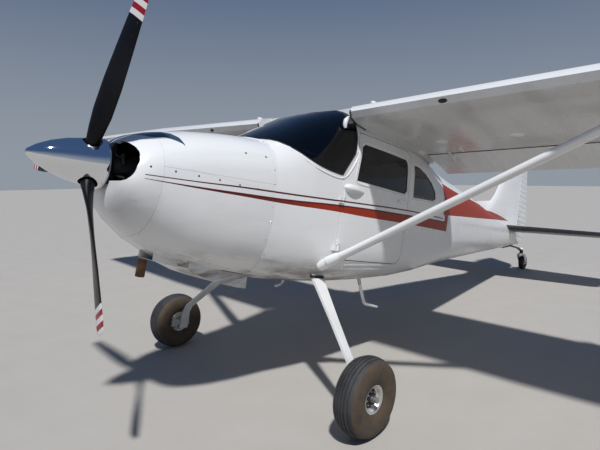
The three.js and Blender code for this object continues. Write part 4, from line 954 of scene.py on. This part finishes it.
# Level y and z of screws, plugs and rivets on both sides; low rows are two ends and a count,
# and a head is its radius, its height and its number of sides.
screws = {
    "smallHead": (0.006, 0.0022, 10), "plugHead": (0.0095, 0.0022, 12), "cowlHead": (0.0075, 0.0022, 12),
    "rivetHead": (0.0062, 0.0036, 8),
    "firewall": [(-0.025, 0.134), (-0.021, 0.039), (-0.014, -0.118), (-0.012, -0.221), (-0.02, -0.341),
        (0.007, -0.446), (0.624, -0.319), (0.728, -0.464)],
    "plugs": [(-0.243, 0.207), (-0.085, 0.213)],
    "cowl": [(-0.874, -0.006), (-0.731, -0.008), (-0.586, -0.008), (-0.444, -0.008), (-0.299, -0.015),
        (-0.158, -0.018)],
    "lowRows": [((0.797, -0.477), (1.274, -0.457), 19), ((0.782, -0.512), (1.275, -0.494), 17)],
}


def studsOn(bm, spots, radius, height, sides):
    for y, z in spots:
        for side in (1, -1):
            hit, facing = onSide(y, z, side)
            if hit:
                stud(bm, hit + facing * height * 0.3, facing, radius, height, sides)


with piece("cowl_screws", "bare") as bm:
    studsOn(bm, screws["firewall"], *screws["smallHead"])
with piece("skin_plugs", "seal") as bm:
    studsOn(bm, screws["plugs"], *screws["plugHead"])
    studsOn(bm, screws["cowl"], *screws["cowlHead"])
# The low rivets take the lighter white as a painted highlight.
with piece("cabin_rivets", "clean") as bm:
    for first, last, count in screws["lowRows"]:
        shares = [i / (count - 1) for i in range(count)]
        row = [[a + (b - a) * t for a, b in zip(first, last)] for t in shares]
        studsOn(bm, row, *screws["rivetHead"])

blister = {"spot": (0.765, 0.128), "half": (0.044, 0.128, 0.042), "taper": 0.55, "droop": 0.22, "sunk": 0.004}
# Plates of the door handle: size, how far out, how far along, bevel.
handle = {
    "spot": (1.425, 0.112), "lockAt": (0.005, -0.046), "lock": (0.007, 0.004, 12),
    "plates": [((0.006, 0.12, 0.034), 0.002, 0, 0.0025), ((0.01, 0.026, 0.026), 0.009, 0.036, 0.004),
        ((0.007, 0.088, 0.015), 0.0145, 0.004, 0.003)],
}

with piece("door_air_scoop", "plain", 60, "door_left") as bm:
    # A teardrop air scoop, blunt ahead and drawn out behind.
    hit, facing = onSide(*blister["spot"])
    made = bmesh.ops.create_uvsphere(bm, u_segments=28, v_segments=18, radius=1.0)["verts"]
    for v in made:
        share = (v.co.y + 1) / 2
        narrow = 1 - blister["taper"] * share ** 1.6
        v.co = Vector((v.co.x * narrow, v.co.y, v.co.z * narrow - blister["droop"] * share))
    bmesh.ops.scale(bm, vec=blister["half"], verts=made)
    bmesh.ops.translate(bm, vec=hit - Vector((blister["sunk"], 0, 0)), verts=made)
for word, side in hands.items():
    with piece(f"door_handle_{word}", "plain", body=f"door_{word}") as bm:
        hit, facing = onSide(*handle["spot"], side)
        for size, out, along, edge in handle["plates"]:
            block(bm, size, hit + facing * out + Vector((0, along, 0)), edge, turnTo(facing, "X", "Z"))
        out, along = handle["lockAt"]
        stud(bm, hit + facing * out + Vector((0, along, 0)), facing, *handle["lock"])
print("doors fitted")

strutCuff = {
    "foot": 0.06, "head": 0.075, "end": 0.05, "runs": (0.0, 0.0, 0.075, 0.1, 0.1),
    "grow": (0.97, 1.14, 1.1, 1.04, 0.97), "points": 36,
}
legBoot = {
    "heights": (-0.575, -0.575, -0.59, -0.597, -0.597), "grow": (0.94, 1.12, 1.12, 1.06, 0.94),
    "points": 32,
}


def buildStrutCuffs(word):
    name = f"wing_strut_{word}"
    spots = [rowToLevel @ v.co for v in nodes[name].data.vertices]
    reach = sorted(abs(p.x) for p in spots)

    def middle(wanted):
        return sum(wanted, Vector()) / len(wanted)
    foot = middle([p for p in spots if abs(p.x) < reach[0] + strutCuff["end"]])
    head = middle([p for p in spots if abs(p.x) > reach[-1] - strutCuff["end"]])
    along = (head - foot).normalized()
    for end, start, way in (("foot", foot + along * strutCuff["foot"], along),
                            ("head", head - along * strutCuff["head"], -along)):
        rings = [ringOf(name, start + way * run, along, strutCuff["points"]) for run in strutCuff["runs"]]
        with piece(f"strut_cuff_{end}_{word}", "plain", 45) as bm:
            sleeve(bm, rings, strutCuff["grow"])


for word, side in hands.items():
    buildStrutCuffs(word)
    with piece(f"leg_boot_{word}", "seal", 45) as bm:
        sleeve(bm, [ringOf(f"gear_leg_{word}", (0.5 * side, 0.5, z), (0, 0, 1), legBoot["points"])
                    for z in legBoot["heights"]], legBoot["grow"])
print("struts and legs cuffed")

# Fittings under the belly, as level points along each tube and its radii.
belly = {
    # The bent aerial's lighter white is painted light, since it stands in the body's shade.
    "bent_aerial": ("clean", [(0.35, 1.245, -0.585), (0.35, 1.262, -0.625), (0.35, 1.3, -0.7),
        (0.35, 1.35, -0.785), (0.35, 1.375, -0.822), (0.35, 1.398, -0.836), (0.35, 1.44, -0.843),
        (0.35, 1.592, -0.868)], [0.012, 0.012, 0.0145, 0.0155, 0.0155, 0.0145, 0.0135, 0.0115], 16),
    "aerial_foot": ("bare", [(0.35, 1.238, -0.57), (0.35, 1.252, -0.602), (0.35, 1.272, -0.648),
        (0.35, 1.276, -0.656)], [0.018, 0.016, 0.0145, 0.0135], 16),
    "belly_drain_pipe": ("plain", [(-0.3, 0.93, -0.6), (-0.3, 0.95, -0.69), (-0.3, 0.945, -0.74),
        (-0.3, 0.91, -0.768), (-0.3, 0.853, -0.78)], 0.012, 12),
}
for name, (kind, path, radii, around) in belly.items():
    with piece(name, kind, 50) as bm:
        tube(bm, path, radii, around)

wing = {
    "covers": [(0.95, 1.35), (1.55, 1.35), (2.15, 1.4), (2.75, 1.35), (3.4, 1.35), (4.05, 1.35),
        (4.7, 1.3)],
    "coverRadius": 0.052, "coverScrews": 0.042, "cap": (1.1, 0.98),
    "capOutline": [(-0.006, 0.0), (-0.006, 0.052), (0.004, 0.052), (0.006, 0.046), (0.006, 0.0)],
    "capTab": (0.016, 0.066, 0.005), "hanger": (0.006, 0.1, 0.026), "hangerAt": (0, 0.02, -0.008),
    "hangerPin": (0.004, 0.055, -0.014), "hangers": [(0.62, 1.6), (1.0, 1.6)],
    "strips": [(0.6, 2.47), (2.6, 5.2)], "stripRadius": 0.0065,
    "aftEdge": 2.1, "aftStep": 0.005, "aftTries": 140, "flatBelow": -0.97, "rootX": 0.549, "rootAft": 0.84,
    "rootAboveNose": 0.015, "rootRadius": 0.0075,
    "airPipe": [(0.505, 0.7, 0.69), (0.508, 0.65, 0.676), (0.51, 0.622, 0.65), (0.512, 0.615, 0.615),
        (0.514, 0.622, 0.59)],
    "airPipeRadii": [0.014, 0.016, 0.019, 0.018, 0.012], "fairing": (0.675, 0.735),
    "fairingHalf": (0.022, 0.034, 0.016), "vent": (1.315, 0.2, 0.71), "ventHalf": (0.016, 0.034),
}


def lastSkin(x):
    # The hindmost point of the wing's own underskin at x, just inside its edge.
    for i in range(wing["aftTries"]):
        hit, facing = onWing(x, wing["aftEdge"] - i * wing["aftStep"], False)
        if hit and facing.z < wing["flatBelow"]:
            return hit + Vector((0, -0.006, 0.001))


def buildWingFittings(word, side):
    with piece(f"wing_covers_{word}", "plain") as bm:
        for x, y in wing["covers"]:
            hit, facing = onWing(x * side, y, False)
            turn, radius, ring = turnTo(facing), wing["coverRadius"], wing["coverScrews"]
            disc(bm, hit + facing * 0.0008, turn, radius, 0.004, 28, radius - 0.002)
            for i in range(6):
                a = math.tau * i / 6
                stud(bm, hit + turn @ Vector((ring * math.cos(a), ring * math.sin(a), 0.0025)), facing,
                     0.004, 0.002, 6)
    # Filler cap with its folding tab.
    hit, facing = onWing(wing["cap"][0] * side, wing["cap"][1], True)
    with piece(f"filler_cap_{word}", "bare") as bm:
        spun(bm, wing["capOutline"], hit, 32, facing)
        block(bm, wing["capTab"], hit + facing * 0.008, 0.002, turnTo(facing))
    with piece(f"flap_hangers_{word}", "plain") as bm:
        for x, y in wing["hangers"]:
            hit, facing = onWing(x * side, y, False)
            block(bm, wing["hanger"], hit + Vector(wing["hangerAt"]))
            out, aft, up = wing["hangerPin"]
            stud(bm, hit + Vector((out * side, aft, up)), (side, 0, 0), 0.01, 0.01)
    # Dark strips along the edge of the underskin, ahead of the flap and the aileron, stand in for the shade in
    # the gap there: painted shade.
    with piece(f"gap_shade_strips_{word}", "seal", 60) as bm:
        for start, end in wing["strips"]:
            run = []
            for i in range(24):
                spot = lastSkin((start + (end - start) * i / 23) * side)
                if spot and (not run or (spot - run[-1]).length > 0.02):
                    run.append(spot)
            tube(bm, run, wing["stripRadius"], 8)
    # Rubber strip in the gap round the wing's nose.
    ring = ringOf(f"wing_{word}", (wing["rootX"] * side, 1.2, 0.7), (1, 0, 0), 200)
    start = max(range(len(ring)), key=lambda i: ring[i].y)
    top = min(ring, key=lambda p: p.y).z + wing["rootAboveNose"]
    with piece(f"root_seal_{word}", "seal", 60) as bm:
        tube(bm, [p for p in ring[start:] + ring[:start] if p.y < wing["rootAft"] and p.z < top],
             wing["rootRadius"], 8)
    # Fresh-air pipe ahead of the root, a small fairing on the wing's nose, and the oval vent further out.
    with piece(f"air_pipe_{word}", "plain", 60) as bm:
        tube(bm, [(x * side, y, z) for x, y, z in wing["airPipe"]], wing["airPipeRadii"], 14)
    with piece(f"wing_nose_fairing_{word}", "plain", 80) as bm:
        blob(bm, wing["fairingHalf"], onWing(wing["fairing"][0] * side, wing["fairing"][1], True)[0])
    with piece(f"wing_vent_{word}", "seal") as bm:
        x, y, z = wing["vent"]
        hit, facing = aim(wingTree, (x * side, y, z), (0, 1, 0))
        oval = Matrix.Diagonal((*wing["ventHalf"], 1, 1))
        disc(bm, hit, turnTo(facing, "Z", "X") @ oval, 1, 0.004, 24, 0.94)


lamps = {
    "tip": (6.2, 1.02, 0.872), "tipHalf": (0.026, 0.042, 0.015), "tipBase": (0.014, 0.11, 0.034),
    "tipAt": (0.004, -0.004),
    "beaconBase": [(-0.012, 0.0), (-0.012, 0.034), (0.008, 0.034), (0.01, 0.03), (0.01, 0.0)],
    "beacon": [(0.008, 0.0), (0.008, 0.029), (0.04, 0.027), (0.054, 0.02), (0.06, 0.01), (0.062, 0.0)],
    "beaconAbove": (0, 5.72, 2.4), "tail": (0, 7.2, 0.16), "tailHalf": (0.014, 0.024, 0.022),
}
# Places along the pitot tube, aft and down from where it leaves the wing.
pitot = {
    "spot": (3.35, 0.86),
    "run": [(0, 0.01), (-0.004, -0.05), (-0.016, -0.075), (-0.045, -0.084), (-0.2, -0.084)],
    "radii": [0.009, 0.009, 0.009, 0.008, 0.006],
}


def buildLamps():
    for word, side, kind in (("left", 1, "red"), ("right", -1, "green")):
        x, y, z = lamps["tip"]
        hit = aim(wingTree, (x * side, y, z), (-side, 0, 0))[0]
        with piece(f"tip_lamp_base_{word}", "bare") as bm:
            block(bm, lamps["tipBase"], hit, 0.005)
        out, aft = lamps["tipAt"]
        with piece(f"tip_lamp_{word}", kind, 80) as bm:
            blob(bm, lamps["tipHalf"], hit + Vector((out * side, aft, 0)), 24, 14)
    hit = aim(treeOf("fin"), lamps["beaconAbove"], (0, 0, -1))[0]
    with piece("beacon_base", "bare") as bm:
        spun(bm, lamps["beaconBase"], hit, 28, (0, 0, 1))
    with piece("beacon_lens", "red", 60) as bm:
        spun(bm, lamps["beacon"], hit, 28, (0, 0, 1))
    with piece("tail_lamp", "clear", 80, "rudder") as bm:
        blob(bm, lamps["tailHalf"], aim(treeOf("rudder"), lamps["tail"], (0, -1, 0))[0])


for word, side in hands.items():
    buildWingFittings(word, side)
buildLamps()
with piece("pitot_tube", "bare", 60) as bm:
    x, y = pitot["spot"]
    hit, facing = onWing(x, y, False)
    tube(bm, [(x, y + aft, hit.z + up) for aft, up in pitot["run"]], pitot["radii"])
print("wings fitted")

nose = {
    "barrelX": (0.135, 0.325), "barrelZ": -0.005, "barrelRadius": 0.066, "fins": 11, "core": 0.8,
    "finHalf": 0.16, "aim": (0.23, -1.2, -0.02), "sunk": 0.006, "head": (0.05, 0.05, 0.15),
    "headAt": (0.93, -0.03),
    "baffles": [((0.03, 0.012, 0.085), (0.205, -0.085, 0.075), -0.5),
        ((0.16, 0.01, 0.026), (0.235, -0.08, -0.086), 0)],
}
# Size, place and lean of the plain brackets beside the spinner.
brackets = [((0.13, 0.016, 0.014), (-0.028, -0.9, 0.08), 0.42),
            ((0.12, 0.014, 0.012), (0.065, -0.9, -0.066), 0.16),
            ((0.018, 0.016, 0.07), (0.082, -0.9, 0.04), -0.3)]
scoopFilter = {
    "size": (0.176, 0.01, 0.064), "centre": (0.009, -0.53, -0.538), "fins": 14, "first": -0.073,
    "pitch": 0.0126, "fin": (0.004, 0.01, 0.062), "proud": 0.007,
}
tailCap = {
    "y": 3.696,
    "outline": [(-0.006, 0.0), (-0.006, 0.032), (0.01, 0.031), (0.02, 0.024), (0.026, 0.012), (0.028, 0.0)],
}
caliper = {
    "size": (0.03, 0.05, 0.078), "in": 0.1, "boltIn": 0.118, "aft": 0.055, "up": 0.004, "bolt": 0.022,
}


def buildEngineFront(word, side):
    # A finned front cylinder and its baffles, as far as the inlet shows them.
    x, y, z = nose["aim"]
    front = aim(treeOf("engine"), (x * side, y, z), (0, 1, 0))[0].y
    print("engine front", word, round(front, 3))
    centre = Vector((nose["barrelX"][0] * side, front - nose["sunk"], nose["barrelZ"]))
    run = (nose["barrelX"][1] - nose["barrelX"][0]) * side
    radius, half = nose["barrelRadius"], run * nose["finHalf"] / nose["fins"]
    core = radius * nose["core"]
    outline = [(0.0, 0.0), (0.0, core)]
    for i in range(nose["fins"]):
        a = run * (i + 0.5) / nose["fins"]
        outline += [(a - half, core), (a - half, radius), (a + half, radius), (a + half, core)]
    with piece(f"front_cylinder_{word}", "engine") as bm:
        spun(bm, outline + [(run, core), (run, 0.0)], centre, 28)
        share, ahead = nose["headAt"]
        block(bm, nose["head"], centre + Vector((run * share, ahead, 0.0)), 0.008)
    with piece(f"inlet_baffle_{word}", "baffle") as bm:
        for size, (out, ahead, up), lean in nose["baffles"]:
            block(bm, size, (out * side, front + ahead, up), turn=Matrix.Rotation(lean, 4, "Y"))


for word, side in hands.items():
    buildEngineFront(word, side)
with piece("engine_brackets", "bare") as bm:
    for size, centre, lean in brackets:
        block(bm, size, centre, turn=Matrix.Rotation(lean, 4, "Y"))
with piece("scoop_filter", "dark") as bm:
    x, y, z = scoopFilter["centre"]
    block(bm, scoopFilter["size"], (x, y, z), 0.002, segments=1)
    for i in range(scoopFilter["fins"]):
        x = scoopFilter["first"] + i * scoopFilter["pitch"]
        block(bm, scoopFilter["fin"], (x, y - scoopFilter["proud"], z), 0.0)
with piece("swivel_cap", "plain", 50, level=False) as bm:
    above = rowToLevel @ Vector((0, tailCap["y"], 0.9))
    hit, facing = aim(treeOf("tail_spring"), above, rowToLevel.to_3x3() @ Vector((0, 0, -1)))
    spun(bm, tailCap["outline"], (0, tailCap["y"], (levelToRow @ hit).z), 28, (0, 0, 1))
for word, side in hands.items():
    x, y, z = wheel["centre"]
    y, z = y + caliper["aft"], z + caliper["up"]
    with piece(f"brake_caliper_{word}", "bare", level=False) as bm:
        block(bm, caliper["size"], ((x - caliper["in"]) * side, y, z), 0.006, segments=3)
        for up in (-caliper["bolt"], caliper["bolt"]):
            disc(bm, ((x - caliper["boltIn"]) * side, y, z + up), sideways, 0.007, 0.012, 6)
print("engine front, tail and brakes fitted")

panel = {
    "dials": [(0.1, 0.225), (0.19, 0.225), (0.28, 0.225), (0.1, 0.135), (0.19, 0.135), (0.28, 0.135),
        (0.37, 0.18), (-0.2, 0.205), (-0.29, 0.205), (-0.2, 0.125), (-0.29, 0.125)],
    "ahead": 1.2, "radius": 0.037, "stack": (-0.05, 0.135), "radios": 4, "radioPitch": 0.046,
    "radio": (0.16, 0.018, 0.04), "firstRadio": 0.07, "radioProud": 0.004,
    "bezel": [(-0.004, 0.9), (-0.004, 1), (0.006, 1), (0.008, 0.94), (0.005, 0.9), (-0.004, 0.9)],
}
panelTree, radius = treeOf("instrument_panel"), panel["radius"]
faces = bmesh.new()
with piece("dial_bezels", "trim") as rims:
    for x, z in panel["dials"]:
        hit, facing = aim(panelTree, (x, panel["ahead"], z), (0, -1, 0))
        spun(rims, [(a, radius * share) for a, share in panel["bezel"]], hit, 28, facing)
        disc(faces, hit + facing * 0.001, turnTo(facing), radius * 0.91, 0.004, 28)
    x, z = panel["stack"]
    hit, facing = aim(panelTree, (x, panel["ahead"], z), (0, -1, 0))
    for i in range(panel["radios"]):
        up = panel["firstRadio"] - i * panel["radioPitch"]
        block(rims, panel["radio"], hit + Vector((0, panel["radioProud"], up)))
addPiece("dial_faces", faces, "clear", "airframe", None, 32, True)
print("panel fitted")

studio = {
    "floor": (0.39, 0.365, 0.33), "floorLight": (0.44, 0.415, 0.38), "floorSize": 70,
    "horizon": (0.6, 0.68, 0.78), "zenith": (0.1, 0.2, 0.44), "fill": 0.46, "keyEnergy": 3.7,
    "keyAngle": 3.0, "keyFrom": (0.47, -0.4, 1.06),
}


def buildStudio():
    bm = bmesh.new()
    bmesh.ops.create_grid(bm, x_segments=8, y_segments=8, size=studio["floorSize"])
    mesh = bpy.data.meshes.new("floor")
    bm.to_mesh(mesh)
    bm.free()
    floor = bpy.data.objects.new("floor", mesh)
    scene.collection.objects.link(floor)
    made, spot = newMaterial("paleFloor", {"Roughness": 0.9})
    feed(made.node_tree.nodes["Principled BSDF"].inputs["Base Color"],
         tint(noise(spot, 3.0, 6.0), studio["floor"], studio["floorLight"]))
    mesh.materials.append(made)
    # Soft light from above, a little paler towards the horizon.
    scene.world = bpy.data.worlds.new("studioSky")
    scene.world.use_nodes = True
    sky = scene.world.node_tree
    height = split(put(sky, "TexCoord", {}, "Generated"))[2]
    back = sky.nodes["Background"].inputs
    feed(back["Color"], tint(ease(height, 0.0, 0.55), studio["horizon"], studio["zenith"]))
    feed(back["Strength"], studio["fill"])
    key = bpy.data.lights.new("key", "SUN")
    key.energy = studio["keyEnergy"]
    key.angle = math.radians(studio["keyAngle"])
    lamp = bpy.data.objects.new("key", key)
    lamp.rotation_euler = Vector(studio["keyFrom"]).to_track_quat("Z", "Y").to_euler()
    scene.collection.objects.link(lamp)


# Yaw, pitch and roll in degrees; the focal length is in pixels of a picture 600 wide.
photoView = {"place": (2.821, -4.685, 1.655), "turn": (44.552, -6.035, -0.381), "focal": 459.874,
             "width": 600, "sensor": 36, "farClip": 400}


def buildCamera():
    yaw, pitch, roll = (math.radians(angle) for angle in photoView["turn"])
    data = bpy.data.cameras.new("photoView")
    data.sensor_width = photoView["sensor"]
    data.lens = photoView["focal"] * photoView["sensor"] / photoView["width"]
    data.clip_end = photoView["farClip"]
    camera = bpy.data.objects.new("photoView", data)
    level = Matrix.Rotation(math.pi / 2 + pitch, 4, "X") @ Matrix.Rotation(roll, 4, "Z")
    camera.matrix_world = Matrix.Translation(photoView["place"]) @ Matrix.Rotation(yaw, 4, "Z") @ level
    scene.collection.objects.link(camera)
    scene.camera = camera


buildStudio()
buildCamera()
scene.view_settings.view_transform = "Standard"
print("studio ready")
